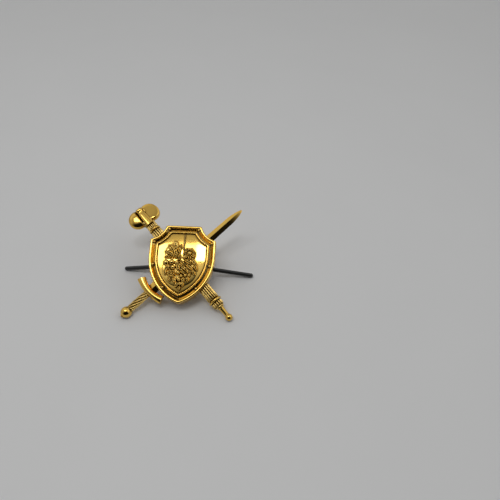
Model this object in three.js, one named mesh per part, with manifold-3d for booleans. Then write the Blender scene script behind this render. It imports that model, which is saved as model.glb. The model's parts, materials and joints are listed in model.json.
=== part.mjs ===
// A gilt uniform badge: a studded shield over a crossed sword and mace, with two bendable prongs behind it.
//
// The badge frame has x to the right across the face, y up to the shield's flat top and z out of the face.
// Its origin is where the two arms cross, on the flat back that lies against the cloth (z = 0).
// Each arm has a frame of its own, turned about z: y runs along the arm and x across it.
// The finished badge leans back on its prong tips, as it stands on a table, with +Z up and z = 0 on the table.
// All sizes are in millimetres and degrees.
import * as THREE from "three";
import { mergeVertices } from "three/addons/utils/BufferGeometryUtils.js";
import Module from "manifold-3d";

const wasm = await Module();
wasm.setup();

// ---------------------------------------------------------------- driving dimensions

const SOLDER_GAP = 0.05; // solder film between two pieces that are joined
const LEAN = 22; // how far the badge leans back on its prongs

// Shield outline: a flat top, a hollow notch at each shoulder, upright sides and two arcs that meet in a tip.
const SHIELD_HALF_WIDTH = 6.78;
const TOP_HALF_WIDTH = 3.65;
const TOP_Y = 7.45;
const SHOULDER_Y = 4.4;
const SPRING_Y = 0.8; // where the lower arcs start
const TIP_Y = -8.9;
const NOTCH_SAGITTA = 0.65;
const NOTCH_STEPS = 6;
const FLANK_STEPS = 12;

// Shield section, as insets from the outline and heights above its plate, which lies on the mace's bundle.
const SKIRT_WALL = 0.6; // wall of the hollow shell, and width of the raised outer band
const GROOVE_WIDTH = 0.4;
const BORDER_WIDTH = 0.75;
const PLATE_THICKNESS = 0.5;
const BAND_RISE = 0.4; // outer band above the plate
const BORDER_RISE = 0.65;
const BORDER_BEVEL = 0.2;
const FIELD_EDGE_RISE = 0.3;
const FIELD_RISE = 0.35; // how far the polished field domes up over its half width
const STUD_RADIUS = 0.32;
const STUD_SEAT_CLEARANCE = 0.05;
const MIDDLE_STUD_Y = -1.05;
const LOWER_STUD_Y = -5.75;

// Relief on the field: a spear on the middle line over a spray of leaves and berries.
const RELIEF_HEIGHT = 0.6;
const SPEAR_WIDTH = 0.28;
const SPEAR_FOOT_Y = 1.5;
const SPRAY_CENTRE_Y = -1.45;
const SPRAY_HALF_WIDTH = 2.7;
const SPRAY_HALF_HEIGHT = 3.5;
const SPRAY_LEAVES = 14;
const LEAF_HALF_LENGTH = 1.1;
const LEAF_HALF_WIDTH = 0.5;
const LEAF_DROOP = 25; // each leaf's turn away from the spray's centre line
const BOSS_HALF_WIDTH = 2.9;
const BOSS_HALF_HEIGHT = 3.7;

// Crossed arms.
const SWORD_ANGLE = 46; // above the badge's x axis
const MACE_ANGLE = 47; // below it
const TURNED_SIDES = 20;

// Sword. What shows of it is measured along its arm from the shield's outline.
const SWORD_AXIS_Z = 0.5;
const BLADE_REACH = 9.75; // from the shield to the point
const POINT_LENGTH = 3.6;
const BLADE_HALF_WIDTH = 1.1;
const BLADE_POINT_HALF_WIDTH = 0.85; // half width where the point starts
const BLADE_EDGE_Z = 0.4;
const BLADE_RIDGE_HEIGHT = 0.55; // ridge above the blade's edges
const GUARD_STANDOFF = 1.85; // from the shield to the guard's centre line
const GUARD_HALF_LENGTH = 3.1;
const GUARD_SAGITTA = 0.65;
const GUARD_WIDTH = 1.15;
const GUARD_HEIGHT = 1.55;
const GUARD_BEVEL = 0.3;
const GRIP_LENGTH = 4.35;
const GRIP_RADIUS = 0.78;
const POMMEL_RADIUS = 1.15;
const TANG_RADIUS = 0.28;
const TANG_CLEARANCE = 0.04;

// Mace. What shows of it is measured along its arm from the shield's outline.
const MACE_AXIS_Z = 0.1;
const BUNDLE_RADIUS = 1.25;
const BUNDLE_HEAD_SHOWS = 2.05;
const BUNDLE_TAIL_SHOWS = 3.2;
const BUNDLE_RODS = 16;
const ROD_FLUTE_DEPTH = 0.1;
const BAND_RADIUS = 1.3;
const BAND_LENGTH = 0.5;
const COLLAR_RADIUS = 1.15;
const COLLAR_LENGTH = 1.0;
const SPINE_LENGTH = 4.9;
const SPINE_FOOT_RADIUS = 0.85;
const SPINE_TOP_RADIUS = 0.55;
const SPINE_AXIS_RISE = 0.75; // the spine's axis above the mace's axis, so that it stands over the lobes
const LOBE_RADIUS = 2.05;
const LOBE_HEIGHT = 1.2;
const LOBE_OFFSET = 1.4;
const LOBE_STANDOFF = 2.7; // from the spine's foot to the lobes' centres
const LOBE_EDGE = 0.35; // upright edge of a lobe under its dome
const RING_RADIUS = 1.45;
const RING_LENGTH = 0.5;
const FERRULE_RADIUS = 1.2;
const FERRULE_LENGTH = 1.4;
const TAIL_AXIS_Z = 0.42;
const TAIL_ROOT_RADIUS = 0.55;
const TAIL_NECK_RADIUS = 0.42;
const TAIL_BALL_RADIUS = 0.74;
const TAIL_LENGTH = 2.65; // from the ferrule to the ball's centre
const TENON_RADIUS = 0.28;
const TENON_Z = 0.5; // height of the tenons that join the mace's stack
const TENON_DEPTH = 1.4; // how far a tenon runs into the bundle's end

// Fastening on the back.
const BRIDGE_Y = -0.3;
const BRIDGE_END_INSET = 0.28; // from the shield's side
const BRIDGE_WIDTH = 2.6;
const BRIDGE_THICKNESS = 0.45;
const PAD_RADIUS = 0.95;
const PAD_THICKNESS = 0.25;
const PRONG_SPACING = 2.6;
const PRONG_RADIUS = 0.45;
const LEFT_PRONG = { name: "prong_leg_left", side: -1, length: 12.25, sweep: 1.9 };
const RIGHT_PRONG = { name: "prong_leg_right", side: 1, length: 13.8, sweep: 4 };

// ---------------------------------------------------------------- worked-out sizes

const GROOVE_INSET = SKIRT_WALL + GROOVE_WIDTH;
const BORDER_INSET = GROOVE_INSET + BORDER_WIDTH;
const FIELD_INSET = BORDER_INSET + SOLDER_GAP;
const STUD_INSET = SKIRT_WALL + GROOVE_WIDTH / 2;
const PLATE_UNDERSIDE = MACE_AXIS_Z + BUNDLE_RADIUS + SOLDER_GAP;
const PLATE_TOP = PLATE_UNDERSIDE + PLATE_THICKNESS;
const BAND_TOP = PLATE_TOP + BAND_RISE;
const BORDER_TOP = PLATE_TOP + BORDER_RISE;
const FIELD_EDGE_TOP = PLATE_TOP + FIELD_EDGE_RISE;
const SEAT_Z = PLATE_TOP + SOLDER_GAP; // what is soldered on the plate starts here
const LAP_Z = (BLADE_EDGE_Z + BLADE_RIDGE_HEIGHT) / 2; // height where the blade and the bundle halve each other
const FAR = 40; // reaches past the whole badge
const swordTurn = THREE.MathUtils.degToRad(SWORD_ANGLE - 90);
const maceTurn = THREE.MathUtils.degToRad(-MACE_ANGLE - 90);

// ---------------------------------------------------------------- materials

const polishedGilt = new THREE.MeshStandardMaterial({ color: 0xd9a83c, roughness: 0.18, metalness: 1 });
const struckGilt = new THREE.MeshStandardMaterial({ color: 0xc99a35, roughness: 0.3, metalness: 1 });
const plainBrass = new THREE.MeshStandardMaterial({ color: 0xb08a45, roughness: 0.45, metalness: 1 });
const blackenedSteel = new THREE.MeshStandardMaterial({ color: 0x141312, roughness: 0.5, metalness: 0.6 });

// ---------------------------------------------------------------- small tools

const radians = THREE.MathUtils.degToRad;

// A closed three.js geometry as a solid.
function solid(geometry) {
  geometry.deleteAttribute("normal");
  geometry.deleteAttribute("uv");
  const merged = mergeVertices(geometry, 1e-4);
  const mesh = new wasm.Mesh({
    numProp: 3,
    vertProperties: new Float32Array(merged.attributes.position.array),
    triVerts: new Uint32Array(merged.index.array),
  });
  return new wasm.Manifold(mesh);
}

// A solid as a named mesh.
function piece(name, body, material) {
  const { vertProperties, triVerts } = body.getMesh();
  const geometry = new THREE.BufferGeometry()
    .setAttribute("position", new THREE.BufferAttribute(vertProperties, 3))
    .setIndex(new THREE.BufferAttribute(triVerts, 1));
  const mesh = new THREE.Mesh(geometry, material);
  mesh.name = name;
  return mesh;
}

// A shape in the x-y plane, raised from one height to another, its upper and lower edges bevelled if asked.
function raised(shape, low, high, bevel = 0) {
  const geometry = new THREE.ExtrudeGeometry(shape, {
    depth: high - low - 2 * bevel,
    bevelEnabled: bevel > 0,
    bevelThickness: bevel,
    bevelSize: bevel,
    bevelOffset: -bevel,
    bevelSegments: 2,
    curveSegments: FLANK_STEPS,
  });
  return geometry.translate(0, 0, low + bevel);
}

// A profile of [radius, distance along the arm] pairs, turned about the arm at height z.
function turned(profile, z, sides = TURNED_SIDES) {
  const points = profile.map(([radius, along]) => new THREE.Vector2(radius, along));
  return new THREE.LatheGeometry(points, sides).translate(0, 0, z);
}

// A round rod along the arm at height z.
function rod(radius, from, to, z, sides = TURNED_SIDES) {
  return turned([[0, from], [radius, from], [radius, to], [0, to]], z, sides);
}

// The profile of an arc of a ball on the arm, between two angles from the arm's own direction.
function ballArc(radius, centre, startAngle, endAngle, steps) {
  return Array.from({ length: steps + 1 }, (_, i) => {
    const angle = radians(startAngle + ((endAngle - startAngle) * i) / steps);
    return [radius * Math.sin(angle), centre - radius * Math.cos(angle)];
  });
}

// Points along an arc in the x-y plane.
function arcPoints(x, y, radius, start, end, steps) {
  return Array.from({ length: steps + 1 }, (_, i) => {
    const angle = start + ((end - start) * i) / steps;
    return new THREE.Vector2(x + radius * Math.cos(angle), y + radius * Math.sin(angle));
  });
}

const aboveBack = solid(new THREE.BoxGeometry(2 * FAR, 2 * FAR, FAR).translate(0, 0, FAR / 2));

// Everything on an arm is cut flat on the badge's back.
function flatBacked(geometry) {
  return solid(geometry).intersect(aboveBack);
}

// ---------------------------------------------------------------- shield

// The shield's outline, moved inwards by an inset. Every arc keeps its centre, so the walls stay even.
function shieldOutline(inset) {
  const chordX = (TOP_HALF_WIDTH + SHIELD_HALF_WIDTH) / 2;
  const chordY = (TOP_Y + SHOULDER_Y) / 2;
  const run = SHIELD_HALF_WIDTH - TOP_HALF_WIDTH;
  const drop = TOP_Y - SHOULDER_Y;
  const chord = Math.hypot(run, drop);
  const notchRadius = (chord * chord) / 8 / NOTCH_SAGITTA + NOTCH_SAGITTA / 2;
  const out = notchRadius - NOTCH_SAGITTA;
  const notchX = chordX + (out * drop) / chord;
  const notchY = chordY + (out * run) / chord;
  const notch = notchRadius + inset;

  const fall = SPRING_Y - TIP_Y;
  const flankRadius = (SHIELD_HALF_WIDTH ** 2 + fall ** 2) / 2 / SHIELD_HALF_WIDTH;
  const flankX = SHIELD_HALF_WIDTH - flankRadius;
  const flank = flankRadius - inset;

  const top = TOP_Y - inset;
  const side = SHIELD_HALF_WIDTH - inset;
  const topStart = Math.PI + Math.asin((notchY - top) / notch);
  const sideEnd = 1.5 * Math.PI - Math.asin((notchX - side) / notch);
  const tipAngle = Math.acos(-flankX / flank);

  const right = [];
  for (let i = 0; i <= NOTCH_STEPS; i++) {
    const angle = topStart + ((sideEnd - topStart) * i) / NOTCH_STEPS;
    right.push([notchX + notch * Math.cos(angle), notchY + notch * Math.sin(angle)]);
  }
  for (let i = 0; i <= FLANK_STEPS; i++) {
    const angle = (tipAngle * i) / FLANK_STEPS;
    right.push([flankX + flank * Math.cos(angle), SPRING_Y - flank * Math.sin(angle)]);
  }
  return { right, flankX, flank };
}

function shieldShape(inset, holeInset) {
  const loop = (amount) => {
    const right = shieldOutline(amount).right.reverse();
    const left = right.slice(1).reverse().map(([x, y]) => [-x, y]);
    return [...right, ...left].map(([x, y]) => new THREE.Vector2(x, y));
  };
  const shape = new THREE.Shape(loop(inset));
  if (holeInset !== undefined) shape.holes.push(new THREE.Path(loop(holeInset)));
  return shape;
}

// How far the shield's outline lies from the crossing, in a direction turned from the badge's x axis.
function shieldReach(angle) {
  const { right } = shieldOutline(0);
  const loop = [...right, ...right.map(([x, y]) => [-x, y]).reverse()];
  const [c, d] = [Math.cos(angle), Math.sin(angle)];
  const hits = loop.map(([x1, y1], i) => {
    const [x2, y2] = loop[(i + 1) % loop.length];
    const before = c * y1 - d * x1;
    const after = c * y2 - d * x2;
    if (before * after > 0 || before === after) return 0;
    const t = before / (before - after);
    return c * (x1 + t * (x2 - x1)) + d * (y1 + t * (y2 - y1));
  });
  return Math.max(...hits);
}

// The eight studs: one in each corner of the groove, and two on each lower arc.
function studPlaces() {
  const { right, flankX, flank } = shieldOutline(STUD_INSET);
  const onFlank = (y) => [flankX + Math.sqrt(flank ** 2 - (SPRING_Y - y) ** 2), y];
  const places = [right[0], right[NOTCH_STEPS], onFlank(MIDDLE_STUD_Y), onFlank(LOWER_STUD_Y)];
  return places.flatMap(([x, y]) => [[-x, y], [x, y]]);
}

function studBody(radius, low, height, [x, y]) {
  const geometry = new THREE.LatheGeometry(
    [[0, 0], [radius, 0], [radius * 0.9, height * 0.55], [radius * 0.5, height * 0.9], [0, height]]
      .map(([r, h]) => new THREE.Vector2(r, h)),
    12,
  );
  return geometry.rotateX(Math.PI / 2).translate(x, y, low);
}

function cutForStuds(body) {
  const radius = STUD_RADIUS + STUD_SEAT_CLEARANCE;
  return studPlaces().reduce((left, [x, y]) => {
    const seat = new THREE.CylinderGeometry(radius, radius, FAR, 12).rotateX(Math.PI / 2);
    return left.subtract(solid(seat.translate(x, y, PLATE_TOP + FAR / 2)));
  }, body);
}

// The hollow shell: skirt, top plate and raised outer band, with a notch where each arm passes the skirt.
function shieldPlate() {
  const blank = solid(raised(shieldShape(0), 0, BAND_TOP));
  const hollow = solid(raised(shieldShape(SKIRT_WALL), -1, PLATE_UNDERSIDE));
  const recess = solid(raised(shieldShape(SKIRT_WALL), PLATE_TOP, BAND_TOP + 1));
  const bladeWay = new THREE.BoxGeometry(
    2 * (BLADE_HALF_WIDTH + SOLDER_GAP), 2 * FAR, 2 * (BLADE_EDGE_Z + BLADE_RIDGE_HEIGHT + SOLDER_GAP),
  );
  const bundleWay = rod(BUNDLE_RADIUS + SOLDER_GAP, -FAR, FAR, MACE_AXIS_Z);
  return cutForStuds(
    blank
      .subtract(hollow)
      .subtract(recess)
      .subtract(solid(bladeWay.rotateZ(swordTurn)))
      .subtract(solid(bundleWay.rotateZ(maceTurn))),
  );
}

function shieldBorder() {
  const ring = raised(shieldShape(GROOVE_INSET, BORDER_INSET), SEAT_Z, BORDER_TOP, BORDER_BEVEL);
  return cutForStuds(solid(ring));
}

// The field is the panel under a wide dome. Lifting the dome gives the relief its seat.
function shieldField(lift = 0) {
  const domeRadius = (SHIELD_HALF_WIDTH ** 2 + FIELD_RISE ** 2) / 2 / FIELD_RISE;
  const crown = FIELD_EDGE_TOP + FIELD_RISE + lift;
  const reach = 1.4 * SHIELD_HALF_WIDTH;
  const steps = 8;
  const cap = Array.from({ length: steps + 1 }, (_, i) => {
    const r = (reach * i) / steps;
    return new THREE.Vector2(r, crown - domeRadius + Math.sqrt(domeRadius ** 2 - r ** 2));
  });
  const dome = new THREE.LatheGeometry([new THREE.Vector2(0, 0), new THREE.Vector2(reach, 0), ...cap.reverse()], 28);
  return solid(raised(shieldShape(FIELD_INSET), SEAT_Z, BORDER_TOP + 1)).intersect(solid(dome.rotateX(Math.PI / 2)));
}

function blob(halfWidth, halfLength, halfHeight, turn, x, y, z) {
  const geometry = new THREE.SphereGeometry(1, 10, 6).scale(halfWidth, halfLength, halfHeight);
  return solid(geometry.rotateZ(turn).translate(x, y, z));
}

// The relief: a boss and a ring of leaves under it, and the spear that stands on them.
function fieldRelief() {
  const base = FIELD_EDGE_TOP;
  const crown = base + FIELD_RISE;
  const spear = new THREE.BoxGeometry(SPEAR_WIDTH, TOP_Y - FIELD_INSET - SPEAR_FOOT_Y - 0.3, RELIEF_HEIGHT);
  let body = blob(BOSS_HALF_WIDTH, BOSS_HALF_HEIGHT, RELIEF_HEIGHT, 0, 0, SPRAY_CENTRE_Y, crown);
  body = body.add(solid(spear.translate(0, (TOP_Y - FIELD_INSET - 0.3 + SPEAR_FOOT_Y) / 2, crown)));
  for (let i = 0; i < SPRAY_LEAVES; i++) {
    const angle = (2 * Math.PI * (i + 0.5)) / SPRAY_LEAVES;
    const x = SPRAY_HALF_WIDTH * Math.cos(angle) * (1 + 0.25 * Math.sin(angle));
    const y = SPRAY_CENTRE_Y + SPRAY_HALF_HEIGHT * Math.sin(angle);
    const turn = angle - Math.PI / 2 - Math.sign(x) * radians(LEAF_DROOP);
    body = body.add(blob(LEAF_HALF_WIDTH, LEAF_HALF_LENGTH, 0.75 * RELIEF_HEIGHT, turn, x, y, crown - 0.15));
  }
  const lifted = shieldField(SOLDER_GAP);
  const floor = solid(raised(shieldShape(FIELD_INSET), 0, SEAT_Z + 0.1));
  return body.subtract(lifted).subtract(floor).intersect(solid(raised(shieldShape(FIELD_INSET), 0, FAR)));
}

// ---------------------------------------------------------------- sword, along its own arm

const BLADE_TIP = shieldReach(radians(SWORD_ANGLE)) + BLADE_REACH;
const BLADE_TAPER_START = BLADE_TIP - POINT_LENGTH;
const GUARD_CENTRE = -shieldReach(radians(SWORD_ANGLE + 180)) - GUARD_STANDOFF;
const guardRadius = (GUARD_HALF_LENGTH ** 2 + GUARD_SAGITTA ** 2) / 2 / GUARD_SAGITTA;
const gripTop = GUARD_CENTRE - GUARD_WIDTH / 2 - SOLDER_GAP;
const gripFoot = gripTop - GRIP_LENGTH;
const pommelCentre = gripFoot - SOLDER_GAP - 0.85 * POMMEL_RADIUS;

const tangHole = (from, to) => solid(rod(TANG_RADIUS + TANG_CLEARANCE, from, to, SWORD_AXIS_Z, 12));

// The place where one arm crosses the other, as a slab from one height to another.
function lapSlab(otherHalfWidth, otherTurn, ownTurn, low, high) {
  const slab = new THREE.BoxGeometry(2 * (otherHalfWidth + SOLDER_GAP), 2 * FAR, high - low);
  return solid(slab.translate(0, 0, (low + high) / 2).rotateZ(otherTurn - ownTurn));
}

// A four-sided turning is a diamond section. Its point is drawn in by an arc.
function swordBlade() {
  const guardCurve = guardRadius - Math.sqrt(guardRadius ** 2 - BLADE_HALF_WIDTH ** 2);
  const root = GUARD_CENTRE + GUARD_WIDTH / 2 + guardCurve + SOLDER_GAP;
  const pointSteps = 5;
  const point = Array.from({ length: pointSteps }, (_, i) => {
    const t = (i + 1) / (pointSteps + 0.15);
    const along = BLADE_TAPER_START + t * (BLADE_TIP - BLADE_TAPER_START);
    return [BLADE_POINT_HALF_WIDTH * Math.sqrt(1 - t * t) * (1 - 0.25 * t), along];
  });
  const profile = [
    [0, root], [BLADE_HALF_WIDTH, root], [BLADE_POINT_HALF_WIDTH, BLADE_TAPER_START], ...point, [0, BLADE_TIP],
  ];
  const diamond = turned(profile, 0, 4).scale(1, 1, BLADE_RIDGE_HEIGHT / BLADE_HALF_WIDTH);
  const tang = rod(TANG_RADIUS, pommelCentre, root + 1, SWORD_AXIS_Z, 12);
  return flatBacked(diamond.translate(0, 0, BLADE_EDGE_Z))
    .subtract(lapSlab(BUNDLE_RADIUS, maceTurn, swordTurn, -1, LAP_Z + SOLDER_GAP / 2))
    .add(solid(tang));
}

// The guard is a bar along an arc whose ends reach towards the blade.
function swordGuard() {
  const half = Math.asin(GUARD_HALF_LENGTH / guardRadius);
  const middle = -Math.PI / 2;
  const bar = new THREE.Shape([
    ...arcPoints(0, 0, guardRadius + GUARD_WIDTH / 2, middle - half, middle + half, 10),
    ...arcPoints(0, 0, guardRadius - GUARD_WIDTH / 2, middle + half, middle - half, 10),
  ]);
  const geometry = raised(bar, -GUARD_BEVEL, GUARD_HEIGHT, GUARD_BEVEL).translate(0, GUARD_CENTRE + guardRadius, 0);
  return flatBacked(geometry).subtract(tangHole(GUARD_CENTRE - 1, GUARD_CENTRE + 1));
}

function swordGrip() {
  const waist = 0.9 * GRIP_RADIUS;
  const profile = [
    [0, gripFoot], [waist, gripFoot], [GRIP_RADIUS, (gripFoot + gripTop) / 2], [waist, gripTop], [0, gripTop],
  ];
  return flatBacked(turned(profile, SWORD_AXIS_Z)).subtract(tangHole(gripFoot - 1, gripTop + 1));
}

// A ball with a flat seat for the grip and a small button on its end.
function swordPommel() {
  const seat = gripFoot - SOLDER_GAP;
  const ball = ballArc(POMMEL_RADIUS, pommelCentre, 22, 148, 9);
  const button = pommelCentre - 1.12 * POMMEL_RADIUS;
  const profile = [[0, button], [0.3 * POMMEL_RADIUS, button], ...ball, [0, ball.at(-1)[1]]];
  const trimmed = profile.map(([radius, along]) => [radius, Math.min(along, seat)]);
  return flatBacked(turned(trimmed, SWORD_AXIS_Z)).subtract(tangHole(pommelCentre - TANG_CLEARANCE, FAR));
}

// ---------------------------------------------------------------- mace, along its own arm

const BUNDLE_HEAD_END = -shieldReach(radians(180 - MACE_ANGLE)) - BUNDLE_HEAD_SHOWS;
const BUNDLE_TAIL_END = shieldReach(radians(-MACE_ANGLE)) + BUNDLE_TAIL_SHOWS;
const bandFoot = BUNDLE_HEAD_END - SOLDER_GAP;
const collarFoot = bandFoot - BAND_LENGTH - SOLDER_GAP;
const spineFoot = collarFoot - COLLAR_LENGTH - SOLDER_GAP;
const ringStart = BUNDLE_TAIL_END + SOLDER_GAP;
const ferruleStart = ringStart + RING_LENGTH + SOLDER_GAP;
const tailStart = ferruleStart + FERRULE_LENGTH + SOLDER_GAP;
const TAIL_BALL_CENTRE = tailStart + TAIL_LENGTH;
const LOBE_CENTRE = spineFoot - LOBE_STANDOFF;

const tenonHole = (from, to) => solid(rod(TENON_RADIUS + TANG_CLEARANCE, from, to, TENON_Z, 12));

// The bundle is a round rod whose section is scalloped into smaller rods.
function rodBundle() {
  const pointsPerRod = 4;
  const section = Array.from({ length: BUNDLE_RODS * pointsPerRod }, (_, i) => {
    const angle = (2 * Math.PI * i) / (BUNDLE_RODS * pointsPerRod);
    const radius = BUNDLE_RADIUS - ROD_FLUTE_DEPTH * (1 - Math.abs(Math.sin((BUNDLE_RODS * angle) / 2)));
    return new THREE.Vector2(radius * Math.cos(angle), radius * Math.sin(angle));
  });
  const bar = raised(new THREE.Shape(section), -BUNDLE_TAIL_END, -BUNDLE_HEAD_END);
  return bar.rotateX(Math.PI / 2).translate(0, 0, MACE_AXIS_Z);
}

function maceBundle() {
  return flatBacked(rodBundle())
    .subtract(lapSlab(BLADE_HALF_WIDTH, swordTurn, maceTurn, LAP_Z - SOLDER_GAP / 2, FAR))
    .subtract(tenonHole(BUNDLE_HEAD_END - 1, BUNDLE_HEAD_END + TENON_DEPTH + TANG_CLEARANCE))
    .subtract(tenonHole(BUNDLE_TAIL_END - TENON_DEPTH - TANG_CLEARANCE, BUNDLE_TAIL_END + 1));
}

// A bead-edged disc of the mace's stack, bored for the tenon.
function stackDisc(radius, from, to) {
  const edge = Math.min(0.12, (to - from) / 4);
  const profile = [[0, from], [radius - edge, from], [radius, from + edge], [radius, to - edge], [radius - edge, to], [0, to]];
  return flatBacked(turned(profile, MACE_AXIS_Z)).subtract(tenonHole(from - 1, to + 1));
}

// The spine is the ridge between the lobes, with the tenon that holds the head's stack together.
function maceSpine() {
  const top = spineFoot - SPINE_LENGTH;
  const profile = [
    ...ballArc(SPINE_TOP_RADIUS, top + SPINE_TOP_RADIUS, 0, 90, 4),
    [SPINE_FOOT_RADIUS, spineFoot], [0, spineFoot],
  ];
  const tenon = rod(TENON_RADIUS, spineFoot - 1, BUNDLE_HEAD_END + TENON_DEPTH, TENON_Z, 12);
  return flatBacked(turned(profile, MACE_AXIS_Z + SPINE_AXIS_RISE)).add(solid(tenon));
}

// A lobe is a domed disc. The spine takes its share of the middle.
function maceLobe(side) {
  const dome = [[0, 0], [LOBE_RADIUS, 0], [LOBE_RADIUS, LOBE_EDGE]];
  for (let i = 1; i <= 6; i++) {
    const angle = (Math.PI / 2) * (i / 6);
    dome.push([LOBE_RADIUS * Math.cos(angle), LOBE_EDGE + (LOBE_HEIGHT - LOBE_EDGE) * Math.sin(angle)]);
  }
  dome[dome.length - 1][0] = 0;
  const geometry = new THREE.LatheGeometry(dome.map(([r, h]) => new THREE.Vector2(r, h)), 28).rotateX(Math.PI / 2);
  const spineRoom = turned(
    [[0, -FAR], [SPINE_FOOT_RADIUS + SOLDER_GAP, -FAR], [SPINE_FOOT_RADIUS + SOLDER_GAP, FAR], [0, FAR]],
    MACE_AXIS_Z + SPINE_AXIS_RISE,
  );
  const sliver = new THREE.BoxGeometry(2 * SOLDER_GAP, 2 * FAR, 2 * FAR);
  const halfSpace = new THREE.BoxGeometry(FAR, 2 * FAR, 2 * FAR).translate((-side * FAR) / 2, 0, 0);
  return solid(geometry.translate(side * LOBE_OFFSET, LOBE_CENTRE, 0))
    .subtract(solid(spineRoom))
    .subtract(solid(sliver))
    .subtract(solid(halfSpace));
}

// The tail is a thin neck with a ball, and a tenon through the ferrule and the ring.
function maceTail() {
  const neckAngle = THREE.MathUtils.radToDeg(Math.asin(TAIL_NECK_RADIUS / TAIL_BALL_RADIUS));
  const ball = ballArc(TAIL_BALL_RADIUS, TAIL_BALL_CENTRE, neckAngle, 180, 8);
  const profile = [[0, tailStart], [TAIL_ROOT_RADIUS, tailStart], [TAIL_NECK_RADIUS, tailStart + 1.2], ...ball];
  profile[profile.length - 1][0] = 0;
  const tenon = rod(TENON_RADIUS, BUNDLE_TAIL_END - TENON_DEPTH, tailStart + 1, TENON_Z, 12);
  return flatBacked(turned(profile, TAIL_AXIS_Z)).add(solid(tenon));
}

// ---------------------------------------------------------------- fastening

const padTop = -SOLDER_GAP - BRIDGE_THICKNESS - SOLDER_GAP;
const bendZ = padTop - PAD_THICKNESS - SOLDER_GAP - PRONG_RADIUS;

// The strip soldered across the shell's back edge.
function backBridge() {
  const end = SHIELD_HALF_WIDTH - BRIDGE_END_INSET - BRIDGE_WIDTH / 2;
  const strip = new THREE.Shape([
    ...arcPoints(end, 0, BRIDGE_WIDTH / 2, -Math.PI / 2, Math.PI / 2, 8),
    ...arcPoints(-end, 0, BRIDGE_WIDTH / 2, Math.PI / 2, 1.5 * Math.PI, 8),
  ]);
  return solid(raised(strip, -SOLDER_GAP - BRIDGE_THICKNESS, -SOLDER_GAP).translate(0, BRIDGE_Y, 0));
}

function prongPad(side) {
  const disc = new THREE.CylinderGeometry(PAD_RADIUS, PAD_RADIUS, PAD_THICKNESS, TURNED_SIDES).rotateX(Math.PI / 2);
  return solid(disc.translate((side * PRONG_SPACING) / 2, BRIDGE_Y, padTop - PAD_THICKNESS / 2));
}

// A leg runs along its own y from the bend at its origin to a rounded tip.
function prongLeg(length) {
  const tip = ballArc(PRONG_RADIUS, length - PRONG_RADIUS, 90, 180, 3);
  const root = ballArc(PRONG_RADIUS, 0, 0, 90, 3);
  return solid(turned([...root, ...tip].map(([r, along], i, all) => [i === 0 || i === all.length - 1 ? 0 : r, along]), 0, 12));
}

// The angle at which a leg leans back from the badge so that its rounded tip touches the table.
function legBackAngle({ length, sweep }, originHeight) {
  const lean = radians(LEAN);
  const bendHeight = originHeight + BRIDGE_Y * Math.sin(lean) + bendZ * Math.cos(lean);
  const needed = (bendHeight - PRONG_RADIUS) / (length - PRONG_RADIUS);
  const back = Math.cos(lean);
  const down = Math.sin(radians(sweep)) * Math.sin(lean);
  return Math.asin(needed / Math.hypot(back, down)) - Math.atan2(down, back);
}

// ---------------------------------------------------------------- assembly

const shield = new THREE.Group();
shield.add(
  piece("shield_plate", shieldPlate(), polishedGilt),
  piece("shield_border", shieldBorder(), polishedGilt),
  piece("shield_field", shieldField(), polishedGilt),
  piece("field_relief", fieldRelief(), struckGilt),
);
studPlaces().forEach((place, i) => {
  const stud = solid(studBody(STUD_RADIUS, SEAT_Z, BAND_TOP - PLATE_TOP, place));
  shield.add(piece(`rim_stud_${i + 1}`, stud, polishedGilt));
});

const sword = new THREE.Group();
sword.rotation.z = swordTurn;
sword.add(
  piece("sword_blade", swordBlade(), polishedGilt),
  piece("sword_guard", swordGuard(), polishedGilt),
  piece("sword_grip", swordGrip(), struckGilt),
  piece("sword_pommel", swordPommel(), polishedGilt),
);

const mace = new THREE.Group();
mace.rotation.z = maceTurn;
mace.add(
  piece("mace_bundle", maceBundle(), struckGilt),
  piece("mace_band", stackDisc(BAND_RADIUS, bandFoot - BAND_LENGTH, bandFoot), polishedGilt),
  piece("mace_collar", stackDisc(COLLAR_RADIUS, collarFoot - COLLAR_LENGTH, collarFoot), struckGilt),
  piece("mace_spine", maceSpine(), polishedGilt),
  piece("mace_lobe_left", maceLobe(1), polishedGilt),
  piece("mace_lobe_right", maceLobe(-1), polishedGilt),
  piece("mace_ring", stackDisc(RING_RADIUS, ringStart, ringStart + RING_LENGTH), polishedGilt),
  piece("mace_ferrule", stackDisc(FERRULE_RADIUS, ferruleStart, ferruleStart + FERRULE_LENGTH), struckGilt),
  piece("mace_tail", maceTail(), polishedGilt),
);

const badge = new THREE.Group();
badge.rotation.x = radians(LEAN);
badge.add(shield, sword, mace);
badge.add(
  piece("back_bridge", backBridge(), plainBrass),
  piece("prong_pad_left", prongPad(-1), plainBrass),
  piece("prong_pad_right", prongPad(1), plainBrass),
);
badge.updateMatrixWorld(true);
const originHeight = -new THREE.Box3().setFromObject(badge, true).min.z;

// Each bend turns about an axis in the badge's plane, square to the way its leg is swept.
for (const prong of [LEFT_PRONG, RIGHT_PRONG]) {
  const bend = new THREE.Group();
  bend.name = `${prong.name}_bend`;
  bend.position.set((prong.side * PRONG_SPACING) / 2, BRIDGE_Y, bendZ);
  bend.rotation.z = prong.side * radians(-90 - prong.sweep);
  const leg = piece(prong.name, prongLeg(prong.length), blackenedSteel);
  leg.rotation.x = -legBackAngle(prong, originHeight);
  bend.add(leg);
  badge.add(bend);
}

// The finished part stands with its footprint's middle over the origin and its lowest point at z = 0.
const part = new THREE.Group();
part.add(badge);
part.updateMatrixWorld(true);
const box = new THREE.Box3().setFromObject(part, true);
badge.position.set(-(box.min.x + box.max.x) / 2, -(box.min.y + box.max.y) / 2, -box.min.z);

export default part;
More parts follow.
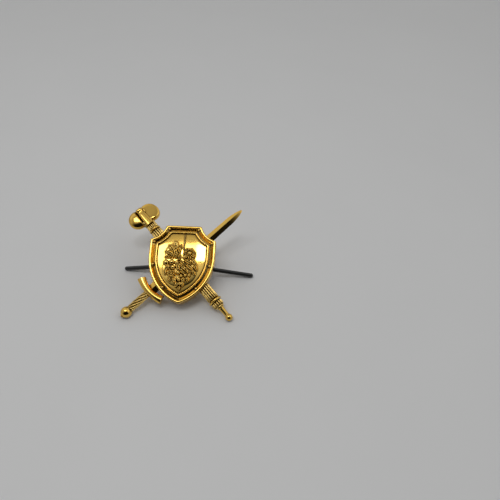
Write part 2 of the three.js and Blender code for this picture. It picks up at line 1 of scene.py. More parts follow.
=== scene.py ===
"""The looks of a gilt uniform badge: a studded shield over a crossed sword and mace, with two wire prongs.

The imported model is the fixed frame. Every shown piece is a fine surface worked out with numpy in the badge's
own millimetres, where x runs to the right across the face, y towards the shield's flat top and z out of the
face, and z = 0 is the flat back. A surface is then leaned back and shifted into the row frame, in metres.
"""

import json
import logging
import math
from dataclasses import dataclass, field
from enum import Enum
from typing import Any, Callable, Sequence

import bpy
import numpy as np
from mathutils import Matrix, Vector


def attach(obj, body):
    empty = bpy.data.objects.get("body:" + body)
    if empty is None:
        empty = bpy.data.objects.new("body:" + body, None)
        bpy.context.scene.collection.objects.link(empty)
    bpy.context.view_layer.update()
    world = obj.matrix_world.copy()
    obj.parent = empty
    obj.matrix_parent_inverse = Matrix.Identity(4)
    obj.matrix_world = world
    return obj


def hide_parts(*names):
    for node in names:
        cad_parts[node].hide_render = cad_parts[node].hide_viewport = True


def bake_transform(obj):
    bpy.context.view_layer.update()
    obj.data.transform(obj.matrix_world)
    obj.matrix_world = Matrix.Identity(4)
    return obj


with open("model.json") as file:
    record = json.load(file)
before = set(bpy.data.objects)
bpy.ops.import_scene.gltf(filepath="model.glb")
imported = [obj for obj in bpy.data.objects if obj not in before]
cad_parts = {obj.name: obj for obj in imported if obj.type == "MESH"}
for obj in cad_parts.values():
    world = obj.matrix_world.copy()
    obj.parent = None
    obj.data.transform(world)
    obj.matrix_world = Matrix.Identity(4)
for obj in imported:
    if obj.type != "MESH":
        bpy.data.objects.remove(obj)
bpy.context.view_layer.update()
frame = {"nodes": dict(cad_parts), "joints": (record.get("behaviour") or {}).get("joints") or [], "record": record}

LOG = logging.getLogger("badge")
MM = 0.001
SOLDER_GAP = 0.05  # the film between two soldered pieces
FALL = 3.5  # how steeply a part of the relief drops at its edge, in mm for all of what is left

Array = np.ndarray


# ---------------------------------------------------------------- colours and nodes


def linear(hex_colour: int, alpha: float = 1.0) -> tuple[float, float, float, float]:
    """Turns an sRGB colour into the linear values that a shader takes.

    Args:
        hex_colour: The colour as 0xRRGGBB.
        alpha: The fourth value.

    Returns:
        Linear red, green, blue and alpha.
    """
    channels = [((hex_colour >> shift) & 255) / 255 for shift in (16, 8, 0)]
    red, green, blue = [c / 12.92 if c <= 0.04045 else ((c + 0.055) / 1.055) ** 2.4 for c in channels]
    return red, green, blue, alpha


def add(tree: bpy.types.NodeTree, kind: str, settings: dict | None = None, **inputs: Any) -> bpy.types.Node:
    """Adds a node with its settings and its inputs.

    Args:
        tree: The node tree.
        kind: The node's type name without its ShaderNode prefix.
        settings: Properties of the node itself.
        **inputs: Values or output sockets by input name, or by number as _0, _1 and so on.

    Returns:
        The new node.
    """
    node = tree.nodes.new("ShaderNode" + kind)
    for key, value in (settings or {}).items():
        setattr(node, key, value)
    for key, value in inputs.items():
        socket = node.inputs[int(key[1:])] if key[0] == "_" and key[1:].isdigit() else node.inputs[
            key.replace("_", " ")
        ]
        if isinstance(value, bpy.types.NodeSocket):
            tree.links.new(value, socket)
        else:
            socket.default_value = value
    return node


def per_mm(size_mm: float) -> float:
    """Noise scale whose cells are about size_mm across, on Object coordinates in metres."""
    return 1 / (size_mm * MM)


class Ground(Enum):
    """What lies under a finish's colour."""

    METAL = 1.0
    LACQUER = 0.0


@dataclass(frozen=True)
class Finish:
    """A surface finish: its colour, its gloss, the small relief that its making leaves, and painted shade in its
    narrow recesses.

    Attributes:
        name: The material's name.
        slot: The record's material slot. Not used.
        ground: Whether the surface is bare metal or lacquer.
        colour: Main colour, as sRGB hex.
        shade: Colour of its thinner or duller places, as sRGB hex.
        roughness: Lowest and highest roughness.
        cloud_mm: Size of the patches where colour and gloss drift.
        grain_mm: Size of the finest bumps.
        grain_height_mm: Height of the finest bumps.
        peel_mm: Size of the long, low waves that polishing leaves.
        peel_height_mm: Height of those waves.
        recess: Colour of the painted shade that darkens narrow recesses, as sRGB hex.
        recess_mm: How near the facing walls must be for that painted shade.
        recess_open: Openness under which the painted shade is full, and over which there is none.
        coat: Weight of a clear coat over everything.
    """

    name: str
    slot: str
    ground: Ground
    colour: int
    shade: int
    roughness: tuple[float, float]
    cloud_mm: float
    grain_mm: float
    grain_height_mm: float
    peel_mm: float
    peel_height_mm: float
    recess: int
    recess_mm: float = 0.5
    recess_open: tuple[float, float] = (0.50, 0.88)
    coat: float = 0.0

    def material(self) -> bpy.types.Material:
        """Builds the finish as a procedural material, once.

        Returns:
            The material.
        """
        if self.name in bpy.data.materials:
            return bpy.data.materials[self.name]
        material = bpy.data.materials.new(self.name)
        material.use_nodes = True
        tree = material.node_tree
        tree.nodes.clear()
        place = add(tree, "TexCoord").outputs["Object"]
        cloud = add(tree, "TexNoise", Vector=place, Scale=per_mm(self.cloud_mm), Detail=3.0, Roughness=0.55)
        colour = add(tree, "Mix", {"data_type": "RGBA"}, _0=cloud.outputs["Fac"])
        colour.inputs[6].default_value = linear(self.colour)
        colour.inputs[7].default_value = linear(self.shade)
        gloss = add(
            tree, "MapRange", Value=cloud.outputs["Fac"], From_Min=0.3, From_Max=0.7,
            To_Min=self.roughness[0], To_Max=self.roughness[1],
        )
        # Painted shade: an ambient-occlusion mask pulls the colour towards the recess shade colour in narrow
        # recesses, where shade falls, and raises the roughness there.
        openness = add(tree, "AmbientOcclusion", {"samples": 8}, Distance=self.recess_mm * MM)
        depth = add(
            tree, "MapRange", Value=openness.outputs["AO"], From_Min=self.recess_open[0],
            From_Max=self.recess_open[1], To_Min=0.0, To_Max=1.0,
        )
        dull = add(tree, "Math", {"operation": "SUBTRACT", "use_clamp": True}, _0=0.42, _1=0.0)
        tree.links.new(depth.outputs["Result"], dull.inputs[1])
        rough = add(tree, "Math", {"operation": "MAXIMUM"}, _0=gloss.outputs["Result"], _1=dull.outputs[0])
        toned = add(tree, "Mix", {"data_type": "RGBA"}, _0=depth.outputs["Result"])
        toned.inputs[6].default_value = linear(self.recess)
        tree.links.new(colour.outputs[2], toned.inputs[7])
        peel = add(tree, "TexNoise", Vector=place, Scale=per_mm(self.peel_mm), Detail=2.0)
        grain = add(tree, "TexNoise", Vector=place, Scale=per_mm(self.grain_mm), Detail=4.0, Roughness=0.6)
        waves = add(tree, "Bump", Strength=1.0, Distance=self.peel_height_mm * MM, Height=peel.outputs["Fac"])
        bumps = add(
            tree, "Bump", Strength=1.0, Distance=self.grain_height_mm * MM,
            Height=grain.outputs["Fac"], Normal=waves.outputs["Normal"],
        )
        shader = add(
            tree, "BsdfPrincipled", Base_Color=toned.outputs[2], Metallic=self.ground.value,
            Roughness=rough.outputs[0], Coat_Weight=self.coat, Coat_Roughness=0.08,
            Normal=bumps.outputs["Normal"],
        )
        add(tree, "OutputMaterial", Surface=shader.outputs["BSDF"])
        return material


# Thin gold over polished brass: a warm mirror with the faint waves of hand buffing.
POLISHED_GILT = Finish(
    "polished_gilt_brass", "polished_gilt", Ground.METAL, colour=0xF2CA6C, shade=0xE8BA54,
    roughness=(0.05, 0.11), cloud_mm=2.4, grain_mm=0.11, grain_height_mm=0.0006, peel_mm=0.8,
    peel_height_mm=0.0028, recess=0x6A4512,
)
# The same gold where the die leaves fine detail that the wheel misses: softer, with dark brown painted shade laid
# in its narrow depths.
STRUCK_GILT = Finish(
    "struck_gilt_brass", "struck_gilt", Ground.METAL, colour=0xF8D478, shade=0xECC05C, roughness=(0.06, 0.13),
    cloud_mm=1.2, grain_mm=0.07, grain_height_mm=0.0010, peel_mm=0.4, peel_height_mm=0.003, recess=0x2E1B05,
    recess_mm=0.30, recess_open=(0.38, 0.76),
)
# Ribs and cords: a lighter copy of the gold, a painted highlight that makes their tops read brighter, with painted
# shade down in the slots between them.
FLUTED_GILT = Finish(
    "fluted_gilt_brass", "struck_gilt", Ground.METAL, colour=0xFBDC8C, shade=0xF0C566, roughness=(0.24, 0.32),
    cloud_mm=1.2, grain_mm=0.07, grain_height_mm=0.0015, peel_mm=0.4, peel_height_mm=0.003, recess=0x1E1103,
    recess_mm=0.24, recess_open=(0.50, 0.84),
)
# A darker brown copy of the gold for the sunk slope round the field: painted shade where the groove looks dark.
TONED_GILT = Finish(
    "toned_gilt_brass", "struck_gilt", Ground.METAL, colour=0xA08A55, shade=0x7E6A40, roughness=(0.20, 0.32),
    cloud_mm=0.9, grain_mm=0.07, grain_height_mm=0.0015, peel_mm=0.4, peel_height_mm=0.004, recess=0x3E2608,
    recess_mm=0.4, recess_open=(0.45, 0.90),
)
# Bare soldered brass, pickled but never polished.
PLAIN_BRASS = Finish(
    "pickled_brass", "plain_brass", Ground.METAL, colour=0xD9B066, shade=0xA87C3E, roughness=(0.30, 0.48),
    cloud_mm=1.1, grain_mm=0.09, grain_height_mm=0.004, peel_mm=0.5, peel_height_mm=0.010, recess=0x5A4020,
)
# Soft steel wire under black lacquer, which rounds off the drawing marks and keeps a low shine.
BLACK_LACQUER = Finish(
    "black_lacquered_wire", "blackened_steel", Ground.LACQUER, colour=0x0C0C0B, shade=0x1A1917,
    roughness=(0.28, 0.45), cloud_mm=1.6, grain_mm=0.12, grain_height_mm=0.003, peel_mm=0.9,
    peel_height_mm=0.012, recess=0x080807, coat=0.3,
)


# ---------------------------------------------------------------- surfaces


@dataclass
class Patch:
    """A grid of points that closes on itself.

    Attributes:
        points: Rows by columns by three, in badge millimetres. Columns always wrap round.
        looped: True when the last row joins the first, as on a ring. Otherwise a fan closes each end.
    """

    points: Array
    looped: bool = False

    def vertices(self) -> Array:
        """The grid's points, then one middle point for each fan.

        Returns:
            Vertices by three.
        """
        flat = self.points.reshape(-1, 3)
        if self.looped:
            return flat
        return np.vstack([flat, self.points[0].mean(0), self.points[-1].mean(0)])

    def faces(self) -> tuple[Array, Array]:
        """Joins neighbouring grid points, wrapping the columns and closing the ends.

        Returns:
            The quads and the triangles, as vertex numbers, all facing out.
        """
        rows, columns = self.points.shape[:2]
        row = np.arange(rows if self.looped else rows - 1)[:, None]
        column = np.arange(columns)[None, :]
        after, below = (column + 1) % columns, (row + 1) % rows
        corners = (
            row * columns + column, row * columns + after, below * columns + after, below * columns + column,
        )
        quads = np.stack(np.broadcast_arrays(*corners), -1).reshape(-1, 4)
        edge = np.arange(columns)
        turn = np.roll(edge, -1)
        last_row = (rows - 1) * columns
        start = np.stack([turn, edge, np.full(columns, rows * columns)], -1)
        end = np.stack([edge + last_row, turn + last_row, np.full(columns, rows * columns + 1)], -1)
        triangles = np.zeros((0, 3), int) if self.looped else np.vstack([start, end])
        if self._volume(quads, triangles) < 0:
            quads, triangles = quads[:, ::-1], triangles[:, ::-1]
        return quads, triangles

    def _volume(self, quads: Array, triangles: Array) -> float:
        """Sum of the signed tetrahedra from the origin to every face, six times the volume.

        Args:
            quads: Corner numbers, by four.
            triangles: Corner numbers, by three.

        Returns:
            The signed volume, positive where the faces point outwards.
        """
        points = self.vertices()
        halves = np.vstack([quads[:, [0, 1, 2]], quads[:, [0, 2, 3]], triangles])
        a, b, c = (points[halves[:, i]] for i in range(3))
        return float(np.einsum("ij,ij->i", a, np.cross(b, c)).sum())


@dataclass(frozen=True)
class BadgeFrame:
    """Where the badge lies in the row frame.

    Attributes:
        lean: How far the face leans back from lying flat, in radians.
        origin: The badge's own origin in the row frame, in millimetres.
    """

    lean: float
    origin: Array

    @classmethod
    def from_record(cls, record: dict, bend_back: Array) -> "BadgeFrame":
        """Reads the lean off the back's outward normal, and the origin off the two prong hinges.

        Args:
            record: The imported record.
            bend_back: The badge point halfway between the hinges, in badge millimetres.

        Returns:
            The badge's frame.
        """
        normal = record["mounts"][0]["axis"]
        lean = math.atan2(normal[1], -normal[2])
        hinges = np.array([j["pos_m"] for j in record["behaviour"]["joints"]]) / MM
        loose = cls(lean, np.zeros(3))
        return cls(lean, hinges.mean(0) - loose.place(bend_back[None])[0] / MM)

    def place(self, points: Array) -> Array:
        """Turns badge points about x by the lean, shifts them and makes them metres.

        Args:
            points: Points by three, in badge millimetres.

        Returns:
            The same points in the row frame, in metres.
        """
        c, s = math.cos(self.lean), math.sin(self.lean)
        turn = np.array([[1, 0, 0], [0, c, -s], [0, s, c]])
        return (points @ turn.T + self.origin) * MM


@dataclass(frozen=True)
class Arm:
    """A line across the badge. Its own y runs along it, x across it and z out of the face.

    Attributes:
        angle: Turn of the arm's y from the badge's y, in degrees, anticlockwise.
    """

    angle: float

    def place(self, points: Array) -> Array:
        """Turns points of the arm's frame about z into badge millimetres."""
        c, s = math.cos(math.radians(self.angle)), math.sin(math.radians(self.angle))
        return points @ np.array([[c, s, 0], [-s, c, 0], [0, 0, 1]])


@dataclass
class Maker:
    """Turns patches into pieces of the badge.

    Attributes:
        badge: Where the badge lies.
        made: Names of the pieces so far.
    """

    badge: BadgeFrame
    made: list[str] = field(default_factory=list)

    def piece(
        self, name: str, patches: Sequence[Patch], finish: Finish, body: str | None, nodes: Sequence[str],
        crease: float = 32,
    ) -> bpy.types.Object:
        """Builds one piece and dresses it.

        Args:
            name: The piece's name.
            patches: Its closed surfaces, in badge millimetres.
            finish: Its finish.
            body: The CAD body it rides on, or None to leave it on no body.
            nodes: The CAD nodes that it stands for.
            crease: Edges turned by more than this many degrees stay sharp.

        Returns:
            The new object.
        """
        mesh = bpy.data.meshes.new(name)
        points, quads, triangles, base = [], [], [], 0
        for patch in patches:
            corners = self.badge.place(patch.vertices())
            four, three = patch.faces()
            points.append(corners)
            quads.append(four + base)
            triangles.append(three + base)
            base += len(corners)
        all_quads, all_triangles = np.vstack(quads), np.vstack(triangles)
        loops = np.concatenate([all_quads.ravel(), all_triangles.ravel()]).astype(np.int32)
        sizes = np.repeat([4, 3], [len(all_quads), len(all_triangles)]).astype(np.int32)
        mesh.vertices.add(base)
        mesh.vertices.foreach_set("co", np.vstack(points).astype(np.float32).ravel())
        mesh.loops.add(len(loops))
        mesh.loops.foreach_set("vertex_index", loops)
        mesh.polygons.add(len(sizes))
        mesh.polygons.foreach_set("loop_start", np.concatenate([[0], np.cumsum(sizes)[:-1]]).astype(np.int32))
        mesh.polygons.foreach_set("loop_total", sizes)
        mesh.polygons.foreach_set("use_smooth", np.ones(len(sizes), bool))
        mesh.update(calc_edges=True)
        mesh.validate()
        mesh.set_sharp_from_angle(angle=math.radians(crease))
        mesh.materials.append(finish.material())
        piece = bpy.data.objects.new(name, mesh)
        bpy.context.scene.collection.objects.link(piece)
        if body:
            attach(piece, body)
        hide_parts(*nodes)
        self.made.append(name)
        LOG.info("%s: %d faces, stands for %s", name, len(sizes), ", ".join(nodes))
        return piece


def spread(steps: int, bunch: float = 0.7) -> Array:
    """Numbers from 0 up to but not at 1, bunched towards both ends by a share of a half cosine."""
    even = np.arange(steps) / steps
    return (1 - bunch) * even + bunch * (1 - np.cos(math.pi * even)) / 2


def turned(
    profile: Sequence[tuple[float, float]], height: float, sides: int = 48,
    waist: Callable[[Array, Array], Array] | None = None, flat_back: bool = True,
) -> Array:
    """A profile turned about an arm.

    Each row is a ring of radius r at its place along the arm. Its points are (r sin a, along, height + r cos
    a), where r is first multiplied by waist(a, along). Whatever would fall behind the badge's back is laid on
    it.

    Args:
        profile: Pairs of radius and place along the arm.
        height: Height of the arm's line above the back.
        sides: Points round each ring.
        waist: Factor on the radius at an angle and a place along.
        flat_back: Whether to stop at the back.

    Returns:
        Rows by columns by three, in the arm's frame.
    """
    radius, along = (np.array(v)[:, None] for v in zip(*profile))
    angle = np.linspace(0, 2 * math.pi, sides, endpoint=False)[None, :]
    shape = radius * (waist(angle, along) if waist else np.ones_like(angle))
    ring = [shape * np.sin(angle), along + 0 * angle, height + shape * np.cos(angle)]
    points = np.stack(np.broadcast_arrays(*ring), -1)
    if flat_back:
        points[..., 2] = np.maximum(points[..., 2], 0)
    return points


def ribbed(
    count: int, crown: float, depth: float, slot: float, lead: float = math.inf,
    fade: Callable[[Array], Array] = np.ones_like,
) -> Callable[[Array, Array], Array]:
    """Round ribs with a narrow slot between each two, as a factor on a turned shape's radius.

    With u the distance from a rib's middle as a share of half its pitch, the factor is
    1 - fade (crown u squared + depth exp(-((1 - u) / slot) squared)).

    Args:
        count: Ribs round the shape.
        crown: How much lower a rib's edge is than its middle, as a share of the radius.
        depth: Depth of a slot, as a share of the radius.
        slot: Half width of a slot, as a share of half the pitch.
        lead: Length along the arm of one turn of the ribs.
        fade: How strong the ribs are at a place along the arm.

    Returns:
        The factor at an angle and a place along.
    """

    def factor(angle: Array, along: Array) -> Array:
        """The ribs' factor on the radius.

        Args:
            angle: Angles about the arm.
            along: Places along it.

        Returns:
            The factor at each.
        """
        turns = (angle / (2 * math.pi) - along / lead) * count
        u = 2 * np.abs(turns - np.round(turns))
        return 1 - fade(along) * (crown * u**2 + depth * np.exp(-(((1 - u) / slot) ** 2)))

    return factor


def rounded(
    radius: float, start: float, end: float, edge: float, steps: int = 5,
) -> list[tuple[float, float]]:
    """Profile of a disc or barrel from start to end whose two rims are quarter circles of radius edge.

    Args:
        radius: Radius of the barrel.
        start: Where it begins along the arm.
        end: Where it ends.
        edge: Radius of its rims.
        steps: Points on each rim.

    Returns:
        Pairs of radius and place along the arm.
    """
    turn = np.linspace(0, math.pi / 2, steps)
    side = math.copysign(1, end - start)
    near = [(radius - edge + edge * math.sin(t), start + side * edge * (1 - math.cos(t))) for t in turn]
    far = [(radius - edge + edge * math.cos(t), end - side * edge * (1 - math.sin(t))) for t in turn]
    return near + far


def refine(profile: Sequence[tuple[float, float]], step: float) -> list[tuple[float, float]]:
    """The same profile with points added so that none lie further apart than step.

    Args:
        profile: Pairs of numbers.
        step: Longest distance to leave.

    Returns:
        The pairs with the added ones between.
    """
    points = np.array(profile)
    out = [points[:1]]
    for a, b in zip(points[:-1], points[1:]):
        count = max(1, math.ceil(float(np.linalg.norm(b - a)) / step))
        out.append(a + (b - a) * (np.arange(1, count + 1) / count)[:, None])
    return [tuple(p) for p in np.vstack(out)]


# ---------------------------------------------------------------- shield


@dataclass
class Shield:
    """The struck shield: hollow shell, inner moulding, domed field with its relief, and eight studs."""

    half_width: float = 6.78
    top_half_width: float = 3.65
    top: float = 7.45
    shoulder: float = 4.4
    spring: float = 0.8
    tip: float = -8.9
    notch_sagitta: float = 0.65
    skirt_wall: float = 0.6
    groove_width: float = 0.4
    border_width: float = 0.75
    plate_underside: float = 1.4
    plate_thickness: float = 0.5
    band_rise: float = 0.4
    border_rise: float = 0.65
    field_edge_rise: float = 0.3
    field_rise: float = 0.35
    stud_radius: float = 0.32
    middle_stud: float = -1.05
    lower_stud: float = -5.75
    body: str = "badge"

    @property
    def plate_top(self) -> float:
        """Height of the plate's upper side."""
        return self.plate_underside + self.plate_thickness

    @property
    def border_inset(self) -> float:
        """Inset of the moulding's inner edge."""
        return self.skirt_wall + self.groove_width + self.border_width

    def _arcs(self, inset: float) -> tuple[float, ...]:
        """Centres, radii and end angles of the notch and lower arc at an inset. Each arc keeps its centre.

        Args:
            inset: Distance in from the outer edge, in mm.

        Returns:
            The radii and angles of the outline.
        """
        run, drop = self.half_width - self.top_half_width, self.top - self.shoulder
        chord = math.hypot(run, drop)
        notch_radius = chord * chord / 8 / self.notch_sagitta + self.notch_sagitta / 2
        out = notch_radius - self.notch_sagitta
        notch_x = (self.top_half_width + self.half_width) / 2 + out * drop / chord
        notch_y = (self.top + self.shoulder) / 2 + out * run / chord
        notch = notch_radius + inset
        fall = self.spring - self.tip
        flank_radius = (self.half_width**2 + fall**2) / 2 / self.half_width
        flank_x, flank = self.half_width - flank_radius, flank_radius - inset
        start = math.pi + math.asin((notch_y - self.top + inset) / notch)
        end = 1.5 * math.pi - math.asin((notch_x - self.half_width + inset) / notch)
        return notch_x, notch_y, notch, start, end, flank_x, flank, math.acos(-flank_x / flank)

    def outline(self, inset: float, density: int = 1, soften: int = 6) -> Array:
        """The shield's outline moved inwards.

        The right half runs along the flat top, round the hollow notch, down the side and round the lower arc
        to the tip, with points bunched at the corners. The left half mirrors it. Each softening pass then
        replaces every point by a quarter of each neighbour and a half of itself, which rounds the corners.

        Args:
            inset: Distance inwards from the outer edge.
            density: Multiplies the number of points.
            soften: Number of softening passes.

        Returns:
            Points by two, clockwise from the middle of the top.
        """
        notch_x, notch_y, notch, start, end, flank_x, flank, last = self._arcs(inset)
        corner = notch_x + notch * math.cos(start)
        top, side = self.top - inset, self.half_width - inset
        foot = notch_y + notch * math.sin(end)
        t = spread(10 * density)
        flat = np.stack([corner * t, np.full_like(t, top)], -1)
        angle = start + (end - start) * spread(24 * density)
        hollow = np.stack([notch_x + notch * np.cos(angle), notch_y + notch * np.sin(angle)], -1)
        t = spread(16 * density)
        straight = np.stack([np.full_like(t, side), foot + (self.spring - foot) * t], -1)
        angle = last * spread(60 * density, 0.4)
        lower = np.stack([flank_x + flank * np.cos(angle), self.spring - flank * np.sin(angle)], -1)
        point = [[0.0, self.spring - flank * math.sin(last)]]
        right = np.vstack([flat, hollow, straight, lower])
        left = (right[1:] * [-1, 1])[::-1]
        loop = np.vstack([right, point, left])
        for _ in range(soften * density):
            loop = (np.roll(loop, 1, 0) + 2 * loop + np.roll(loop, -1, 0)) / 4
        return loop

    def swept(self, profile: Sequence[tuple[float, float]], looped: bool) -> Patch:
        """Carries a profile of (inset, height) pairs round the outline, one row for each pair."""
        rows = [
            np.column_stack([self.outline(inset), np.full(len(self.outline(inset)), z)])
            for inset, z in profile
        ]
        return Patch(np.array(rows), looped)

    def dome(self, x: Array, y: Array) -> Array:
        """Height of the field: its crown less a share of the squared distance from the middle."""
        crown = self.plate_top + self.field_edge_rise + self.field_rise
        return crown - self.field_rise * (x**2 + y**2) / self.half_width**2

    def shell(self, maker: Maker) -> None:
        """The hollow shell: underside, inner wall, skirt, rounded outer band and the slope into the groove.

        Args:
            maker: What makes the pieces and dresses them.
        """
        wall, top, under = self.skirt_wall, self.plate_top, self.plate_underside
        band = top + self.band_rise
        foot = wall + self.groove_width
        reach = 2.6
        rim_half, rim_rise = 0.26, 0.17
        crown = [
            (rim_half - rim_half * math.cos(a), band - rim_rise + rim_rise * math.sin(a))
            for a in np.linspace(0.05, math.pi - 0.5, 12)
        ]
        profile = [
            (reach, under), (wall + 0.25, under), (wall + 0.1, under - 0.03), (wall + 0.02, under - 0.12),
            (wall, under - 0.3), (wall, 0.08), (wall - 0.04, 0.0), (0.06, 0.0), (0.0, 0.06),
            (0.0, 0.3 * band), (0.0, 0.6 * band), *crown, (0.53, band - rim_rise),
            (foot - 0.06, top + 0.05), (foot - 0.01, top + 0.01), (foot + 0.08, top), (reach, top),
        ]
        maker.piece(
            "shield_shell", [self.swept(profile, False)], POLISHED_GILT, self.body, ["shield_plate"],
            crease=40,
        )

    def moulding(self, maker: Maker) -> None:
        """The inner frame: a straight slope that climbs from the groove to a narrow bead beside the field.

        Args:
            maker: What makes the pieces and dresses them.
        """
        outer, inner = self.skirt_wall + self.groove_width, self.border_inset
        foot, crest = self.plate_top + SOLDER_GAP, self.plate_top + self.border_rise
        bead = 0.17
        middle = inner - bead - 0.02
        round_top = [
            (middle - bead * math.cos(a), crest - bead + bead * math.sin(a))
            for a in np.linspace(-0.5, math.pi + 0.3, 16)
        ]
        seam = middle - bead * 1.25
        slope = [
            (outer, foot - 0.03), (outer + 0.03, foot + 0.02), (seam - 0.06, crest - bead * 2.2),
            (seam, crest - bead * 2.25), (seam, foot - 0.03),
        ]
        profile = [
            (seam + SOLDER_GAP, foot - 0.03), (seam + SOLDER_GAP, crest - bead * 1.9), *round_top,
            (inner - 0.01, foot + 0.1), (inner - 0.01, foot - 0.03),
        ]
        maker.piece(
            # The slope takes the darker copy of the gold: painted shade for the sunk groove.
            "shield_slope", [self.swept(slope, True)], TONED_GILT, self.body, ["shield_border"], crease=50,
        )
        maker.piece(
            "shield_moulding", [self.swept(profile, True)], POLISHED_GILT, self.body, ["shield_border"],
            crease=50,
        )

    def panel(self, maker: Maker) -> None:
        """The field: an edge that turns over into a polished dome.

        Args:
            maker: What makes the pieces and dresses them.
        """
        inset = self.border_inset + SOLDER_GAP
        rim = self.outline(inset)
        low = self.plate_top + SOLDER_GAP
        rows = [np.column_stack([rim, np.full(len(rim), low)])]
        for inward, drop in ((0.0, 0.14), (0.012, 0.08), (0.04, 0.03), (0.09, 0.006)):
            loop = self.outline(inset + inward)
            rows.append(np.column_stack([loop, self.dome(*loop.T) - drop]))
        inner = self.outline(inset + 0.16)
        for share in np.linspace(1, 0.02, 26):
            loop = inner * share
            rows.append(np.column_stack([loop, self.dome(*loop.T)]))
        maker.piece(
            "shield_panel", [Patch(np.array(rows))], POLISHED_GILT, self.body, ["shield_field"], crease=60,
        )

    def studs(self, maker: Maker) -> None:
        """A stud in each corner of the groove and two on each lower arc, as low domes on a short collar.

        Args:
            maker: What makes the pieces and dresses them.
        """
        inset = self.skirt_wall + self.groove_width / 2
        notch_x, notch_y, notch, start, end, flank_x, flank, _ = self._arcs(inset)
        corners = [(notch_x + notch * math.cos(a), notch_y + notch * math.sin(a)) for a in (start, end)]
        flanks = [
            (flank_x + math.sqrt(flank**2 - (self.spring - y) ** 2), y)
            for y in (self.middle_stud, self.lower_stud)
        ]
        places = [(side * x, y) for x, y in corners + flanks for side in (-1, 1)]
        turn = np.linspace(0, math.pi / 2, 7)[:-1]
        radius, low = self.stud_radius, self.plate_top + 0.01
        profile = [(radius, low), (radius, low + 0.14)]
        profile += [(0.97 * radius * math.cos(a), low + 0.18 + 0.32 * math.sin(a)) for a in turn]
        around = np.linspace(0, 2 * math.pi, 28, endpoint=False)
        for number, (x, y) in enumerate(places, 1):
            rows = [
                np.column_stack([x + r * np.cos(around), y + r * np.sin(around), np.full(28, z)])
                for r, z in profile
            ]
            maker.piece(
                f"rim_stud_{number}_domed", [Patch(np.array(rows))], POLISHED_GILT, self.body,
                [f"rim_stud_{number}"],
            )


@dataclass(frozen=True)
class Leaf:
    """One leaf of the relief, in badge millimetres.

    Attributes:
        x: Middle of the leaf.
        y: Middle of the leaf.
        angle: Direction of its point, in degrees from x.
        length: Half its length.
        width: Half its width.
        height: Its crown above its own floor.
        floor: Its floor above the field.
        curl: How far it bends sideways along its length.
    """

    x: float
    y: float
    angle: float
    length: float
    width: float
    height: float
    floor: float = 0.0
    curl: float = 0.0

    def height_at(self, x: Array, y: Array) -> Array:
        """The leaf's height over the field.

        Let a run along the leaf and b across it, both as shares of its half sizes, with b shifted by the curl
        times a squared. What is left is 1 - a squared - (b over its taper) squared. The height is a power of
        what is left, less a groove on the midrib and slanting veins. Outside, it falls away with what is
        left.

        Args:
            x: Places across the badge.
            y: Places up the badge.

        Returns:
            Heights over the field.
        """
        c, s = math.cos(math.radians(self.angle)), math.sin(math.radians(self.angle))
        a = ((x - self.x) * c + (y - self.y) * s) / self.length
        b = (-(x - self.x) * s + (y - self.y) * c) / self.width - self.curl * (a**2 - 0.3)
        taper = 1 - 0.25 * np.clip(a, -1, 1)
        left = 1 - a**2 - (b / taper) ** 2
        inside = np.clip(left, 0, None)
        midrib = 0.34 * np.exp(-((b / 0.14) ** 2))
        veins = 0.06 * np.cos(15 * (a + 0.8 * np.abs(b)))
        body = inside**0.45 - (midrib + veins) * np.minimum(1, 2 * inside)
        return self.floor + self.height * body + FALL * np.minimum(left, 0)


@dataclass(frozen=True)
class Berry:
    """A round bead of the relief, in badge millimetres."""

    x: float
    y: float
    radius: float
    height: float
    floor: float = 0.0

    def height_at(self, x: Array, y: Array) -> Array:
        """A ball's cap: the root of one less the squared distance, as a share of the radius."""
        left = 1 - ((x - self.x) ** 2 + (y - self.y) ** 2) / self.radius**2
        return self.floor + self.height * np.sqrt(np.clip(left, 0, None)) + FALL * np.minimum(left, 0)


